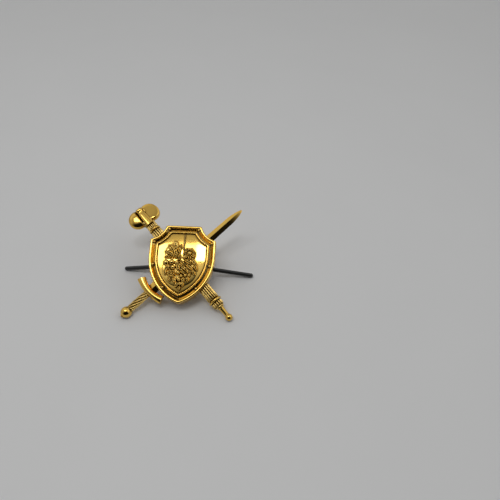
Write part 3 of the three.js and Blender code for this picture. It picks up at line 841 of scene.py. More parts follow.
@dataclass
class Relief:
    """A generic swag of leaves and berries under an upright spear, struck on the field."""

    shield: Shield
    centre: tuple[float, float] = (0.0, -0.9)
    crown: float = 0.66
    sunk: float = 0.12

    def fan(
        self, x: float, y: float, radius: float, start: float, end: float, count: int,
        length: float, width: float, height: float, floor: float,
    ) -> list[Leaf]:
        """Leaves that point away from a middle, evenly between two angles in degrees."""
        return [
            Leaf(
                x + radius * math.cos(a), y + radius * math.sin(a), math.degrees(a),
                length, width, height, floor,
            )
            for a in np.radians(np.linspace(start, end, count))
        ]

    def elements(self) -> list[Leaf | Berry]:
        """Lays out the swag: plumes upper left, a rosette upper right, then fruit and slanting leaves.

        Returns:
            The elements, whose highest one shows at each place.
        """
        high = self.crown
        mounds = [Berry(-0.15, -1.9, 3.65, 0.12), Berry(-1.55, 1.6, 1.95, 0.12), Berry(1.55, 1.1, 1.5, 0.12)]
        # Each leaf is x, y, direction in degrees, half length and half width. Each fruit is x, y and radius.
        plumes = [
            (-1.30, 2.85, 98, 1.30, 0.62), (-2.15, 2.30, 126, 1.20, 0.52), (-2.70, 1.40, 158, 0.95, 0.46),
            (-0.42, 2.05, 78, 1.35, 0.36), (-1.15, 1.15, 100, 1.10, 0.50), (-1.95, 0.95, 128, 0.90, 0.44),
            (-2.75, 0.45, 178, 0.80, 0.36), (-0.35, 0.45, 84, 0.85, 0.40),
        ]
        slanting = [
            (0.42, -0.78, -38, 0.95, 0.42), (1.50, -0.50, -32, 1.00, 0.42), (2.72, -0.55, -52, 0.95, 0.44),
            (-2.70, -1.75, -118, 0.85, 0.50), (-0.45, -1.72, -72, 0.90, 0.46), (0.70, -1.78, -38, 1.05, 0.38),
            (1.95, -1.62, -36, 1.05, 0.40), (3.08, -1.60, -62, 0.80, 0.38), (-3.02, -2.75, -84, 0.65, 0.38),
            (0.62, -2.66, -30, 0.72, 0.36), (1.72, -2.55, -36, 0.80, 0.36), (2.72, -2.60, -72, 0.62, 0.38),
            (-1.00, -4.35, -70, 0.72, 0.44), (0.72, -4.20, -102, 0.68, 0.42), (1.58, -4.00, -76, 0.62, 0.38),
            (-2.05, -4.15, -62, 0.55, 0.34), (-0.50, -5.20, -108, 0.62, 0.38), (0.62, -5.05, -72, 0.58, 0.36),
            (0.05, -5.85, -90, 0.52, 0.34),
        ]
        fruit = [
            (-3.05, -0.70, 0.64), (-1.85, -0.58, 0.60), (-0.80, -0.70, 0.50), (-1.55, -1.70, 0.54),
            (-0.35, -2.78, 0.48), (0.32, -3.42, 0.40), (1.10, -3.30, 0.40), (1.86, -3.26, 0.38),
            (-0.12, -4.15, 0.46), (0.10, -4.98, 0.38), (-1.30, 3.40, 0.50), (0.62, 0.42, 0.42),
        ]
        rosettes = [
            *self.fan(1.62, 1.32, 0.90, 12, 330, 7, 0.48, 0.42, high * 0.88, 0.10),
            Berry(1.62, 1.32, 0.52, high * 0.95, 0.10),
            *self.fan(-1.72, -3.05, 0.60, 0, 300, 6, 0.44, 0.32, high * 0.8, 0.08),
            Berry(-1.72, -3.05, 0.32, high * 0.8, 0.12),
        ]
        leaves = [Leaf(*place, high, floor=0.05, curl=0.25) for place in plumes]
        leaves += [Leaf(*place, high * 0.9, floor=0.08) for place in slanting]
        berries = [Berry(*place, high * 0.95, floor=0.08) for place in fruit]
        return [*mounds, *leaves, *berries, *rosettes]

    def height(self, x: Array, y: Array) -> Array:
        """The highest element over each point, sunk under the field where there is none.

        Args:
            x: Places across the badge.
            y: Places up the badge.

        Returns:
            Heights over the field.
        """
        top = np.full_like(x, -self.sunk)
        for element in self.elements():
            top = np.maximum(top, element.height_at(x, y))
        return top

    def build(self, maker: Maker) -> None:
        """Makes the swag and the spear."""
        self.swag(maker)
        self.spear(maker)

    def swag(self, maker: Maker) -> None:
        """The swag as one surface: rings that shrink to the middle, each point lifted to the relief's height.

        Args:
            maker: What makes the pieces and dresses them.
        """
        shield = self.shield
        rim = shield.outline(shield.border_inset + 0.35, density=2) - self.centre
        shares = np.linspace(1, 0.008, 130)
        plan = self.centre + rim[None] * shares[:, None, None]
        x, y = plan[..., 0], plan[..., 1]
        height = self.height(x, y)
        height[0] = -self.sunk
        top = np.stack([x, y, shield.dome(x, y) + height], -1)
        base = np.column_stack([plan[0], np.full(len(rim), shield.plate_top + 0.1)])
        maker.piece(
            "relief_swag", [Patch(np.vstack([base[None], top]))], STRUCK_GILT, shield.body, ["field_relief"],
            crease=70,
        )

    def spear(self, maker: Maker) -> None:
        """A thin staff with a leaf-shaped head, half sunk in the field.

        Its section at each place is an ellipse, wide by the profile and high by a fixed rise.

        Args:
            maker: What makes the pieces and dresses them.
        """
        shield = self.shield
        top = shield.top - shield.border_inset - 0.10
        profile = [
            (0.02, top), (0.10, top - 0.12), (0.17, top - 0.36), (0.15, top - 0.55), (0.10, top - 0.72),
            (0.17, top - 0.80), (0.17, top - 0.88), (0.14, top - 0.96), (0.14, top - 4.9), (0.03, top - 5.0),
        ]
        width, along = (np.array(v)[:, None] for v in zip(*refine(profile, 0.1)))
        angle = np.linspace(0, 2 * math.pi, 20, endpoint=False)[None, :]
        x = 0.40 + width * np.sin(angle)
        y = along + 0 * angle
        z = shield.dome(x, y) + 0.10 + 0.24 * np.cos(angle) * np.minimum(1, width / 0.1)
        maker.piece(
            # The spear takes the darker copy of the gold: painted shade that makes it read as a dark line.
            "relief_spear", [Patch(np.stack([x, y, z], -1))], TONED_GILT, shield.body, ["field_relief"],
            crease=60,
        )


# ---------------------------------------------------------------- sword


@dataclass
class Sword:
    """The sword under the shield, measured along its arm from the crossing towards the point."""

    arm: Arm = Arm(46 - 90)
    axis: float = 0.5
    tip: float = 17.019
    point_length: float = 3.6
    half_width: float = 1.1
    point_half_width: float = 0.85
    edge_height: float = 0.4
    ridge: float = 0.55
    guard: float = -8.942
    guard_half_length: float = 3.1
    guard_sagitta: float = 0.65
    guard_width: float = 1.15
    guard_height: float = 1.55
    guard_arch: float = 0.45
    grip_length: float = 4.35
    grip_radius: float = 0.78
    pommel_radius: float = 1.15
    strands: int = 8
    strand_lead: float = 10.5
    body: str = "badge"

    @property
    def grip_top(self) -> float:
        """Where the grip meets the guard."""
        return self.guard - self.guard_width / 2 - SOLDER_GAP

    def blade(self, maker: Maker) -> None:
        """A diamond section drawn to a lance-shaped point.

        The half width narrows evenly, then over the point it follows (1 - t squared) to the half times (1 -
        t/4). The ridge stands over it by a fixed share, and each facet is very slightly hollow.

        Args:
            maker: What makes the pieces and dresses them.
        """
        root = self.guard + self.guard_width / 2 + 0.13
        start = self.tip - self.point_length
        body = np.linspace(root, start, 30)
        share = (body - root) / (start - root)
        t = np.sin(np.linspace(0, math.pi / 2, 34))[1:-1]
        point = start + t * self.point_length
        half = np.concatenate([
            self.half_width + (self.point_half_width - self.half_width) * share,
            self.point_half_width * np.sqrt(1 - t**2) * (1 - 0.25 * t),
        ])[:, None]
        along = np.concatenate([body, point])[:, None]
        side = np.linspace(1, -1, 21)[None, :]
        slope = self.ridge / self.half_width
        upper = np.abs(side)
        over = [
            half * side, along + 0 * side,
            self.edge_height + half * slope * (1 - upper - 0.06 * np.sin(math.pi * upper)),
        ]
        back = -side[:, 1:-1]
        under = [
            half * back, along + 0 * back,
            np.maximum(0, self.edge_height - half * slope * (1 - np.abs(back))),
        ]
        grid = np.concatenate(
            [np.stack(np.broadcast_arrays(*over), -1), np.stack(np.broadcast_arrays(*under), -1)], 1,
        )
        maker.piece(
            "sword_blade_ground", [Patch(self.arm.place(grid))], POLISHED_GILT, self.body, ["sword_blade"],
            crease=14,
        )

    def cross_guard(self, maker: Maker) -> None:
        """An arched bar on an arc whose ends reach towards the blade and flare.

        Across its section the half width is walked by a cosine, and the height is the crown less the arch's
        rise times the squared share of the half width. Its sides drop straight to the back. Its ends are cut
        square.

        Args:
            maker: What makes the pieces and dresses them.
        """
        radius = (self.guard_half_length**2 + self.guard_sagitta**2) / 2 / self.guard_sagitta
        reach = math.asin(self.guard_half_length / radius)
        place = np.concatenate([[-1, -0.998, -0.99], np.linspace(-0.975, 0.975, 41), [0.99, 0.998, 1]])
        trim = np.interp(np.abs(place), [0.975, 0.99, 0.998, 1], [1, 0.99, 0.97, 0.94])
        half = (self.guard_width / 2 * (1.20 + 0.28 * place**2) * trim)[:, None]
        share = np.concatenate([np.cos(np.linspace(0, math.pi, 27)), [-1.0, -0.97, 0.97, 1.0]])[None, :]
        over = self.guard_height * (0.97 + 0.03 * trim[:, None]) - self.guard_arch * share**2
        high = np.broadcast_to(over, (len(place), share.shape[1])).copy()
        high[:, 27], high[:, 28:30], high[:, 30] = 0.03, 0.0, 0.03
        angle = (place * reach)[:, None]
        x = (radius - half * share) * np.sin(angle)
        y = self.guard + radius - (radius - half * share) * np.cos(angle)
        grid = np.stack(np.broadcast_arrays(x, y, high), -1)
        maker.piece(
            "sword_cross_guard", [Patch(self.arm.place(grid))], POLISHED_GILT, self.body, ["sword_guard"],
            crease=38,
        )

    def grip(self, maker: Maker) -> None:
        """A corded grip: strands wind round it, with a narrow slot between each two.

        Args:
            maker: What makes the pieces and dresses them.
        """
        foot = self.grip_top - self.grip_length
        cord = ribbed(self.strands, crown=0.16, depth=0.20, slot=0.42, lead=self.strand_lead)
        along = np.linspace(foot, self.grip_top, 110)
        swell = self.grip_radius * (0.95 + 0.09 * np.sin(math.pi * (along - foot) / self.grip_length))
        grid = turned(list(zip(swell, along)), self.axis, self.strands * 14, cord)
        maker.piece(
            "sword_grip_corded", [Patch(self.arm.place(grid))], FLUTED_GILT, self.body, ["sword_grip"],
            crease=60,
        )

    def pommel(self, maker: Maker) -> None:
        """A ball with a collar at the grip, a shallow waistline and a button at its end.

        Args:
            maker: What makes the pieces and dresses them.
        """
        seat = self.grip_top - self.grip_length - SOLDER_GAP
        centre = seat - 0.85 * self.pommel_radius
        turn = np.radians(np.linspace(30, 154, 40))
        radius = self.pommel_radius
        ball = [(radius * math.sin(a), centre + radius * math.cos(a)) for a in turn]
        collar = [
            (0.62 * radius, seat), (0.66 * radius, seat - 0.03), (0.66 * radius, seat - 0.10),
            (0.60 * radius, seat - 0.16),
        ]
        button = [
            (0.36 * radius, centre - 0.96 * radius), (0.36 * radius, centre - 1.06 * radius),
            (0.30 * radius, centre - 1.12 * radius), (0.1 * radius, centre - 1.15 * radius),
        ]
        body = [p for p in ball if p[1] < seat - 0.16]
        grid = turned([*collar, *body, *button], self.axis, 56)
        maker.piece(
            "sword_pommel_ball", [Patch(self.arm.place(grid))], POLISHED_GILT, self.body, ["sword_pommel"],
            crease=40,
        )

    def build(self, maker: Maker) -> None:
        """Makes the sword's pieces.

        Args:
            maker: What makes the pieces and dresses them.
        """
        self.blade(maker)
        self.cross_guard(maker)
        self.grip(maker)
        self.pommel(maker)


# ---------------------------------------------------------------- mace


class Side(Enum):
    """The two sides of the mace's head, as the viewer sees them."""

    LEFT = 1
    RIGHT = -1


@dataclass
class Mace:
    """The mace under the shield, measured along its arm from the crossing towards the ball at its tail."""

    arm: Arm = Arm(-47 - 90)
    axis: float = 0.1
    bundle_radius: float = 1.25
    bundle_start: float = -9.308
    bundle_end: float = 10.313
    rods: int = 15
    teeth: int = 18
    flutes: int = 14
    band_radius: float = 1.3
    band_length: float = 0.5
    collar_radius: float = 1.15
    collar_length: float = 1.0
    spine_length: float = 4.9
    spine_foot_radius: float = 0.85
    spine_top_radius: float = 0.55
    spine_rise: float = 0.75
    lobe_radius: float = 2.05
    lobe_height: float = 1.2
    lobe_offset: float = 1.4
    lobe_standoff: float = 2.7
    ring_radius: float = 1.45
    ring_length: float = 0.5
    ferrule_radius: float = 1.2
    ferrule_length: float = 1.4
    tail_axis: float = 0.42
    tail_length: float = 2.65
    tail_ball_radius: float = 0.74
    body: str = "badge"

    @property
    def band_foot(self) -> float:
        """Where the band begins at the head end."""
        return self.bundle_start - SOLDER_GAP

    @property
    def collar_foot(self) -> float:
        """Where the collar begins."""
        return self.band_foot - self.band_length - SOLDER_GAP

    @property
    def spine_foot(self) -> float:
        """Where the head begins."""
        return self.collar_foot - self.collar_length - SOLDER_GAP

    @property
    def ferrule_start(self) -> float:
        """Where the ferrule begins."""
        return self.bundle_end + SOLDER_GAP + self.ring_length + SOLDER_GAP

    @property
    def tail_start(self) -> float:
        """Where the tail begins."""
        return self.ferrule_start + self.ferrule_length + SOLDER_GAP

    def _stack(
        self, maker: Maker, name: str, node: str, grid: Array, finish: Finish, crease: float = 40,
    ) -> None:
        """Adds one turned piece of the mace."""
        maker.piece(name, [Patch(self.arm.place(grid))], finish, self.body, [node], crease=crease)

    def bundle(self, maker: Maker) -> None:
        """A bundle of rods side by side, with their ends turned over a little.

        Args:
            maker: What makes the pieces and dresses them.
        """
        start, end, radius = self.bundle_start, self.bundle_end, self.bundle_radius
        inner = refine([(radius, start + 0.26), (radius, end - 0.26)], 0.8)
        turned_in = [(0.30, 0.0), (0.24, 0.08), (0.12, 0.15), (0.04, 0.20)]
        foot = [(radius - drop, start + along) for drop, along in turned_in]
        head = [(radius - drop, end - along) for drop, along in reversed(turned_in)]
        profile = [*foot, *inner, *head]
        rods = ribbed(self.rods, crown=0.10, depth=0.20, slot=0.34)
        self._stack(
            maker, "mace_rod_bundle", "mace_bundle", turned(profile, self.axis, self.rods * 16, rods),
            FLUTED_GILT, crease=50,
        )

    def band(self, maker: Maker) -> None:
        """A plain bead round the bundle, below the collar."""
        profile = rounded(
            self.band_radius, self.band_foot, self.band_foot - self.band_length,
            edge=self.band_length / 2 - 0.01, steps=8,
        )
        self._stack(maker, "mace_bead_band", "mace_band", turned(profile, self.axis, 64), POLISHED_GILT)

    def collar(self, maker: Maker) -> None:
        """A knurled collar: coarse teeth run along it and fade at both rims.

        Args:
            maker: What makes the pieces and dresses them.
        """
        start, length = self.collar_foot, self.collar_length

        def fade(along: Array) -> Array:
            """None at both rims, full between them."""
            return np.clip(np.sin(math.pi * (start - along) / length) * 3.5, 0, 1)

        profile = refine(rounded(self.collar_radius, start, start - length, edge=0.12, steps=5), 0.06)
        grid = turned(
            profile, self.axis, self.teeth * 16,
            ribbed(self.teeth, crown=0.07, depth=0.20, slot=0.42, fade=fade),
        )
        self._stack(maker, "mace_knurled_collar", "mace_collar", grid, FLUTED_GILT, crease=60)

    def calyx(self, maker: Maker) -> None:
        """A short flared cup that carries the ribs of the collar up under both lobes.

        Args:
            maker: What makes the pieces and dresses them.
        """
        foot, radius = self.spine_foot, self.collar_radius
        rise = np.linspace(0, 1, 12)
        flare = [(radius * (0.97 + 0.42 * u**1.4), foot - 1.15 * u) for u in rise]
        profile = [*flare, (radius * 1.2, foot - 1.3)]

        def fade(along: Array) -> Array:
            """None at the cup's rim, full from 0.4 mm below it."""
            return np.clip((along - foot + 1.15) / 0.4, 0, 1)

        ribs = ribbed(self.teeth, crown=0.06, depth=0.12, slot=0.40, fade=fade)
        grid = turned(profile, self.axis - 0.15, self.teeth * 16, ribs)
        grid[..., 2] = np.minimum(grid[..., 2], 1.12)
        self._stack(maker, "mace_head_calyx", "mace_spine", grid, FLUTED_GILT, crease=60)

    def spine(self, maker: Maker) -> None:
        """The ridge between the lobes, square-shouldered, that dips behind a folded cap at the top.

        Its half width falls evenly from the collar and swells at the cap. Its end is a quarter ellipse.

        Args:
            maker: What makes the pieces and dresses them.
        """
        foot, length = self.spine_foot, self.spine_length
        cap = 0.80 + 0.20 * np.sin(np.linspace(0, math.pi / 2, 18))[1:]
        t = np.concatenate([np.linspace(0, 0.80, 34), cap])
        wide = self.spine_foot_radius * 0.98 * (1 - t) + self.spine_top_radius * 1.15 * t
        wide += 0.12 * np.exp(-(((t - 0.86) / 0.09) ** 2)) - 0.07 * np.exp(-(((t - 0.70) / 0.06) ** 2))
        past = np.clip((t - 0.80) / 0.201, 0, 1)

        def shoulder(angle: Array, along: Array) -> Array:
            """Turns a circle into a square with round corners, whose fourth powers add up to one."""
            return (np.abs(np.sin(angle)) ** 4 + np.abs(np.cos(angle)) ** 4) ** (-1 / 4) + 0 * along

        profile = list(zip(wide * np.sqrt(np.clip(1 - past**3, 0.003, 1)), foot - length * t))
        ridge = turned(profile, self.axis + self.spine_rise, 64, shoulder)
        ridge[..., 2] *= (1 - 0.55 * past**1.3)[:, None]
        side = np.linspace(0.02, math.pi - 0.02, 22)
        fold = turned(
            [(0.21 * math.sin(a), foot - 0.72 * length - 0.62 * math.cos(a)) for a in side], 0.98, 24,
        )
        fold[..., 0] -= 0.86
        patches = [Patch(self.arm.place(grid)) for grid in (ridge, fold)]
        maker.piece("mace_head_spine", patches, POLISHED_GILT, self.body, ["mace_spine"], crease=60)

    def lobe(self, maker: Maker, side: Side) -> None:
        """Half of the head: a bulging dome on the left, or on the right a face that slopes from the spine.

        At a share s of the radius the dome stands at its edge height plus the rest times the root of (1 - s
        to the power 2.8), and dips into a valley beside the spine. The sloping face falls evenly with x and y
        and turns over at its rim. Points past the middle line are laid on it.

        Args:
            maker: What makes the pieces and dresses them.
            side: Which half.
        """
        sign = side.value
        centre = self.spine_foot - self.lobe_standoff
        s = np.concatenate([[1.0, 1.0], np.cos(np.linspace(0, math.pi / 2, 40))[1:-1]])[:, None]
        around = np.linspace(0, 2 * math.pi, 112, endpoint=False)[None, :]
        reach = np.full_like(around, self.lobe_radius)
        if side is Side.RIGHT:
            reach = reach * (1 + 0.16 * np.clip(np.cos(around - math.radians(52)), 0, 1) ** 3)
        x = np.maximum(self.lobe_offset + reach * s * np.cos(around), SOLDER_GAP)
        y = reach * s * np.sin(around)
        if side is Side.LEFT:
            valley = np.clip((x - 0.35) / 0.95, 0, 1)
            dip = 0.25 + 0.75 * valley**2 * (3 - 2 * valley)
            z = 0.35 + (self.lobe_height + 0.05 - 0.35) * np.sqrt(1 - s**2.8) * dip
        else:
            z = 0.30 + (1.02 - 0.14 * x + 0.12 * y - 0.30) * (1 - s**10) ** 0.5
        z[0] = 0.0
        grid = np.stack(np.broadcast_arrays(sign * x, centre + y, z), -1)
        name = "mace_lobe_" + side.name.lower()
        self._stack(maker, name + "_domed", name, grid, POLISHED_GILT, crease=40)

    def ring(self, maker: Maker) -> None:
        """A bead at the bundle's end.

        Args:
            maker: What makes the pieces and dresses them.
        """
        start = self.bundle_end + SOLDER_GAP
        profile = rounded(
            self.ring_radius, start, start + self.ring_length, edge=self.ring_length / 2 - 0.01, steps=8,
        )
        self._stack(maker, "mace_bead_ring", "mace_ring", turned(profile, self.axis, 64), POLISHED_GILT)

    def ferrule(self, maker: Maker) -> None:
        """A short fluted barrel whose ribs end in round noses, on a plain step.

        Args:
            maker: What makes the pieces and dresses them.
        """
        start, length, radius = self.ferrule_start, self.ferrule_length, self.ferrule_radius

        def fade(along: Array) -> Array:
            """Full over the barrel, twice as deep at the noses, none on the step."""
            place = (along - start) / length
            return np.interp(place, [0, 0.04, 0.12, 0.6, 0.78, 0.8], [0, 0.3, 1, 1, 1.9, 0])

        nose = [
            (radius * (0.62 + 0.38 * math.cos(a)), start + 0.80 + 0.28 * math.sin(a))
            for a in np.linspace(0, 1.5, 8)
        ]
        profile = [
            (radius - 0.28, start), (radius - 0.22, start + 0.06), (radius - 0.05, start + 0.14),
            (radius, start + 0.2), *nose,
        ]
        step = [(0.90, start + 1.12), (0.94, start + 1.16), (0.94, start + 1.32), (0.84, start + length)]
        grid = turned(
            refine([*profile, *step], 0.05), self.axis, self.flutes * 18,
            ribbed(self.flutes, crown=0.09, depth=0.22, slot=0.42, fade=fade),
        )
        self._stack(maker, "mace_fluted_ferrule", "mace_ferrule", grid, FLUTED_GILT, crease=50)

    def tail(self, maker: Maker) -> None:
        """A stepped stem that narrows to a neck and ends in a ball.

        Args:
            maker: What makes the pieces and dresses them.
        """
        start, radius = self.tail_start, self.tail_ball_radius
        centre = start + self.tail_length
        neck = 0.46
        meet = math.asin(neck / radius)
        ball = [
            (radius * math.sin(a), centre - radius * math.cos(a))
            for a in np.linspace(meet, math.pi - 0.08, 26)
        ]
        stem = [
            (0.62, start), (0.69, start + 0.05), (0.69, start + 0.16), (0.62, start + 0.22),
            (0.56, start + 0.30), (0.52, start + 0.9), (0.48, start + 1.5),
            (neck, centre - radius * math.cos(meet) - 0.05),
        ]
        grid = turned(refine([*stem, *ball], 0.1), self.tail_axis, 44)
        self._stack(maker, "mace_tail_ball", "mace_tail", grid, POLISHED_GILT, crease=50)

    def build(self, maker: Maker) -> None:
        """Makes the mace's pieces.

        Args:
            maker: What makes the pieces and dresses them.
        """
        self.bundle(maker)
        self.band(maker)
        self.collar(maker)
        self.calyx(maker)
        self.spine(maker)
        self.lobe(maker, Side.LEFT)
        self.lobe(maker, Side.RIGHT)
        self.ring(maker)
        self.ferrule(maker)
        self.tail(maker)


# ---------------------------------------------------------------- fastening


@dataclass
class Fastening:
    """The strip across the back with its two pads and the wire prongs that bend on them."""

    bridge_y: float = -0.3
    half_length: float = 6.5
    width: float = 2.6
    thickness: float = 0.45
    pad_radius: float = 0.95
    pad_thickness: float = 0.25
    spacing: float = 2.6
    wire_radius: float = 0.45
    bend_reach: float = 0.75
    body: str = "badge"

    @property
    def strip_back(self) -> float:
        """Height of the strip's outer face, behind the badge."""
        return -SOLDER_GAP - self.thickness

    @property
    def pad_back(self) -> float:
        """Height of the pads' outer face."""
        return self.strip_back - SOLDER_GAP - self.pad_thickness

    @property
    def bend(self) -> float:
        """Height of the prongs' hinges."""
        return self.pad_back - SOLDER_GAP - self.wire_radius

    def hinge_middle(self) -> Array:
        """The badge point halfway between the two hinges."""
        return np.array([0.0, self.bridge_y, self.bend])

    def strip(self, maker: Maker) -> None:
        """A strip with round ends: a straight oval whose rows give it worn, rounded rims.

        Args:
            maker: What makes the pieces and dresses them.
        """
        turn = np.linspace(-math.pi / 2, math.pi / 2, 25)
        rows = []
        edge = 0.08
        steps = [
            (edge, 0), (edge * 0.3, edge * 0.3), (0, edge), (0, self.thickness - edge),
            (edge * 0.3, self.thickness - edge * 0.3), (edge, self.thickness),
        ]
        for inward, down in steps:
            r = self.width / 2 - inward
            end = self.half_length - self.width / 2
            right = np.column_stack([end + r * np.cos(turn), r * np.sin(turn)])
            loop = np.vstack([right, -right]) + [0, self.bridge_y]
            rows.append(np.column_stack([loop, np.full(len(loop), -SOLDER_GAP - down)]))
        maker.piece(
            "back_strip_soldered", [Patch(np.array(rows))], PLAIN_BRASS, self.body, ["back_bridge"],
            crease=30,
        )

    def pad(self, maker: Maker, sign: int, side: str) -> None:
        """A round pad under each prong, thinner towards its rim.

        Args:
            maker: What makes the pieces and dresses them.
            sign: -1 for the left one, 1 for the right one.
            side: Its side, as in the node names.
        """
        around = np.linspace(0, 2 * math.pi, 48, endpoint=False)
        top, back = self.strip_back - SOLDER_GAP, self.pad_back
        steps = [
            (self.pad_radius, top), (self.pad_radius, top - 0.08), (self.pad_radius - 0.05, top - 0.14),
            (self.pad_radius - 0.3, back + 0.02), (0.3, back),
        ]
        x = sign * self.spacing / 2
        rows = [
            np.column_stack([x + r * np.cos(around), self.bridge_y + r * np.sin(around), np.full(48, z)])
            for r, z in steps
        ]
        maker.piece(
            f"prong_pad_{side}_dished", [Patch(np.array(rows))], PLAIN_BRASS, self.body,
            [f"prong_pad_{side}"], crease=35,
        )

    def prong(self, maker: Maker, side: str) -> None:
        """One wire from its pad, round its bend and out to its rounded tip.

        The middle line leaves the pad square to the badge, turns through the hinge on a quadratic curve and
        runs straight to the tip. Each ring lies in the plane of the hinge's axis and the line's own normal.
        The tip is a quarter ellipse. The piece rides on no body and has its transform baked in.

        Args:
            maker: What makes the pieces and dresses them.
            side: Its side, as in the node names.
        """
        joint = next(j for j in frame["joints"] if j["child"] == f"{side}_prong")
        hinge, axis = np.array(joint["pos_m"]) / MM, np.array(joint["axis"])
        lean = maker.badge.lean
        out = np.array([0, math.sin(lean), -math.cos(lean)])
        points = np.array([v.co for v in frame["nodes"][f"prong_leg_{side}"].data.vertices]) / MM
        reach = np.linalg.norm(points - hinge, axis=1)
        far = points[reach > reach.max() - 0.02].mean(0) - hinge
        along = far / np.linalg.norm(far)
        length = float(((points - hinge) @ along).max())
        start = hinge - out * (self.wire_radius + SOLDER_GAP + 0.05)
        elbow = hinge + along * self.bend_reach
        t = np.linspace(0, 1, 18)[:, None]
        bend = (1 - t) ** 2 * start + 2 * t * (1 - t) * hinge + t**2 * elbow
        round_off = np.linspace(0, 0.48 * math.pi, 9)[1:]
        straight = np.linspace(self.bend_reach + 0.15, length - self.wire_radius, 40)
        tip = length - self.wire_radius * (1 - np.sin(round_off))
        run = hinge + along * np.concatenate([straight, tip])[:, None]
        line = np.vstack([bend, run])
        full = np.full(len(line) - len(round_off), self.wire_radius)
        size = np.concatenate([full, self.wire_radius * np.cos(round_off)])
        flow = np.gradient(line, axis=0)
        flow /= np.linalg.norm(flow, axis=1)[:, None]
        normal = np.cross(flow, axis)
        around = np.linspace(0, 2 * math.pi, 28, endpoint=False)
        rings = line[:, None] + size[:, None, None] * (
            np.cos(around)[None, :, None] * axis + np.sin(around)[None, :, None] * normal[:, None]
        )
        c, s = math.cos(lean), math.sin(lean)
        turn = np.array([[1, 0, 0], [0, c, -s], [0, s, c]])
        grid = (rings - maker.badge.origin) @ turn
        piece = maker.piece(
            f"prong_wire_{side}", [Patch(grid)], BLACK_LACQUER, None, [f"prong_leg_{side}"], crease=50,
        )
        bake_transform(piece)

    def build(self, maker: Maker) -> None:
        """Makes the strip, the pads and the prongs."""
        self.strip(maker)
        for sign, side in ((-1, "left"), (1, "right")):
            self.pad(maker, sign, side)
            self.prong(maker, side)


# ---------------------------------------------------------------- studio


@dataclass(frozen=True)
class Panel:
    """A soft light panel that looks at the badge.

    Attributes:
        name: The light's name.
        toward: Direction from the badge to the panel.
        distance_mm: How far away it hangs.
        size_mm: Its size along x and across it.
        radiance: Brightness of its face.
        colour: Its colour, as sRGB hex.
    """

    name: str
    toward: tuple[float, float, float]
    distance_mm: float
    size_mm: tuple[float, float]
    radiance: float
    colour: int = 0xFFFFFF

    def hang(self) -> None:
        """Hangs the panel. A panel's watts are its radiance times pi times its area."""
        light = bpy.data.lights.new(self.name, "AREA")
        light.shape = "RECTANGLE"
        light.size, light.size_y = (s * MM for s in self.size_mm)
        light.energy = self.radiance * math.pi * light.size * light.size_y
        light.color = linear(self.colour)[:3]
        lamp = bpy.data.objects.new(self.name, light)
        bpy.context.scene.collection.objects.link(lamp)
        way = Vector(self.toward).normalized()
        across = (Vector((1, 0, 0)) - way * way.x).normalized()
        lamp.rotation_mode = "QUATERNION"
        lamp.location = way * self.distance_mm * MM + Vector((0, 0, 0.005))
        lamp.rotation_quaternion = Matrix((across, way.cross(across), way)).transposed().to_quaternion()


@dataclass(frozen=True)
class Glow:
    """A soft-edged patch of the room.

    Attributes:
        toward: Direction from the badge to the patch's middle.
        core: Full brightness within this many degrees of the middle.
        edge: None beyond this many degrees.
        radiance: Brightness of the core.
        colour: Its colour, as sRGB hex.
    """

    toward: tuple[float, float, float]
    core: float
    edge: float
    radiance: float
    colour: int = 0xFFFFFF

    def strength(self, tree: bpy.types.NodeTree, way: bpy.types.NodeSocket) -> bpy.types.NodeSocket:
        """How strong the patch is in a direction, from 0 to its radiance, by the cosine of their angle."""
        facing = add(
            tree, "VectorMath", {"operation": "DOT_PRODUCT"}, _0=way,
            _1=tuple(Vector(self.toward).normalized()),
        )
        return add(
            tree, "MapRange", {"interpolation_type": "SMOOTHSTEP"}, Value=facing.outputs["Value"],
            From_Min=math.cos(math.radians(self.edge)), From_Max=math.cos(math.radians(self.core)),
            To_Min=0.0, To_Max=self.radiance,
        ).outputs["Result"]


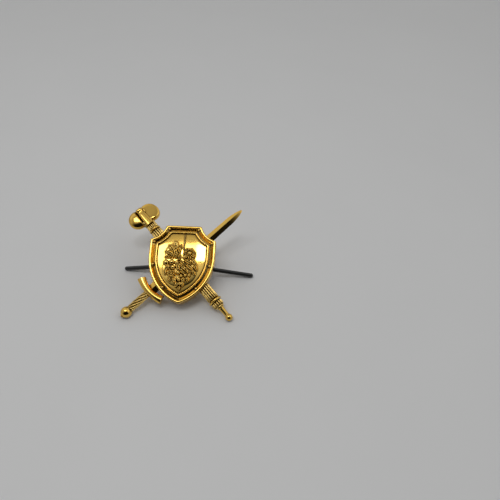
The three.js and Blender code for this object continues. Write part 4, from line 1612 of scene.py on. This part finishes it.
@dataclass
class Studio:
    """A pale table, soft light from above and the camera that looks down on the badge."""

    eye_mm: tuple[float, float, float] = (12.81, -50.34, 71.95)
    aim_mm: tuple[float, float, float] = (13.16, 7.37, 0.0)
    roll_deg: float = 2.53
    lens_mm: float = 28.8
    table_colour: int = 0xE4E5E6
    table_half: float = 6.0
    backdrop: int = 0xBFBFC0
    ambient: float = 0.22
    glows: tuple[Glow, ...] = (
        Glow((-0.05, 0.25, 1.0), core=20, edge=60, radiance=0.14),
        Glow((-0.18, -0.25, 0.95), core=10, edge=24, radiance=0.42),
        Glow((-0.62, 0.53, 0.58), core=14, edge=38, radiance=0.34),
        Glow((0.55, 0.55, 0.55), core=14, edge=42, radiance=0.38),
        Glow((0.75, -0.1, 0.6), core=12, edge=34, radiance=0.55),
        Glow((-0.85, -0.1, 0.45), core=10, edge=30, radiance=0.26),
    )
    shade: Glow = Glow((0.15, -0.90, 0.40), core=38, edge=60, radiance=0.97)

    def camera(self) -> None:
        """Looks from the eye to the aim, then rolls about the line of sight."""
        data = bpy.data.cameras.new("camera")
        data.lens, data.sensor_width = self.lens_mm, 36
        data.clip_start, data.clip_end = 0.002, 20
        camera = bpy.data.objects.new("camera", data)
        bpy.context.scene.collection.objects.link(camera)
        bpy.context.scene.camera = camera
        eye, aim = Vector(self.eye_mm) * MM, Vector(self.aim_mm) * MM
        camera.rotation_mode = "QUATERNION"
        camera.location = eye
        level = (aim - eye).to_track_quat("-Z", "Y")
        roll = Matrix.Rotation(math.radians(self.roll_deg), 3, "Z").to_quaternion()
        camera.rotation_quaternion = level @ roll

    def table(self) -> None:
        """A matte painted board with a barely visible mottle."""
        h = self.table_half
        mesh = bpy.data.meshes.new("table_top")
        mesh.from_pydata([(-h, -h, 0), (h, -h, 0), (h, h, 0), (-h, h, 0)], [], [(0, 1, 2, 3)])
        material = bpy.data.materials.new("matte_board")
        material.use_nodes = True
        tree = material.node_tree
        tree.nodes.clear()
        place = add(tree, "TexCoord").outputs["Object"]
        mottle = add(tree, "TexNoise", Vector=place, Scale=per_mm(30), Detail=3.0)
        tint = add(tree, "Mix", {"data_type": "RGBA"}, _0=mottle.outputs["Fac"])
        tint.inputs[6].default_value = linear(self.table_colour)
        tint.inputs[7].default_value = linear(self.table_colour - 0x040404)
        shader = add(tree, "BsdfPrincipled", Base_Color=tint.outputs[2], Roughness=0.85)
        add(tree, "OutputMaterial", Surface=shader.outputs["BSDF"])
        mesh.materials.append(material)
        table = bpy.data.objects.new("table_top", mesh)
        bpy.context.scene.collection.objects.link(table)

    def room(self) -> None:
        """The room: even grey plus soft patches, dimmed on the viewer's side, and plain where looked at."""
        world = bpy.data.worlds.new("room")
        bpy.context.scene.world = world
        world.use_nodes = True
        tree = world.node_tree
        tree.nodes.clear()
        way = add(tree, "TexCoord").outputs["Generated"]
        total = add(tree, "Math", {"operation": "ADD"}, _0=self.ambient, _1=0.0).outputs[0]
        for glow in self.glows:
            total = add(tree, "Math", {"operation": "ADD"}, _0=total, _1=glow.strength(tree, way)).outputs[0]
        lit = add(
            tree, "Math", {"operation": "SUBTRACT"}, _0=1.0, _1=self.shade.strength(tree, way),
        ).outputs[0]
        level = add(tree, "Math", {"operation": "MULTIPLY"}, _0=total, _1=lit).outputs[0]
        seen = add(tree, "LightPath").outputs["Is Camera Ray"]
        glowing = add(tree, "Background", Color=linear(0xFFFEFC), Strength=level)
        plain = add(tree, "Background", Color=linear(self.backdrop), Strength=1.0)
        mixed = add(tree, "MixShader", _0=seen, _1=glowing.outputs[0], _2=plain.outputs[0])
        add(tree, "OutputWorld", Surface=mixed.outputs[0])

    def lights(self) -> None:
        """A bright window overhead and the long ceiling strip beside it."""
        for panel in (
            Panel("window_overhead", (0.045, -0.050, 1.0), distance_mm=240, size_mm=(36, 40), radiance=9.0),
            Panel("ceiling_strip", (-0.26, -0.075, 1.0), distance_mm=250, size_mm=(118, 52), radiance=3.5),
        ):
            panel.hang()

    def build(self) -> None:
        """Sets up the whole studio."""
        self.camera()
        self.table()
        self.room()
        self.lights()
        bpy.context.scene.view_settings.view_transform = "Standard"


def main() -> None:
    """Builds the badge's sub-assemblies in order, then the studio."""
    logging.basicConfig(level=logging.INFO, format="%(name)s: %(message)s")
    fastening = Fastening()
    maker = Maker(BadgeFrame.from_record(frame["record"], fastening.hinge_middle()))
    shield = Shield()
    shield.shell(maker)
    shield.moulding(maker)
    shield.panel(maker)
    shield.studs(maker)
    Relief(shield).build(maker)
    Sword().build(maker)
    Mace().build(maker)
    fastening.build(maker)
    Studio().build()
    LOG.info("%d pieces made", len(maker.made))


if __name__ == "__main__":
    main()
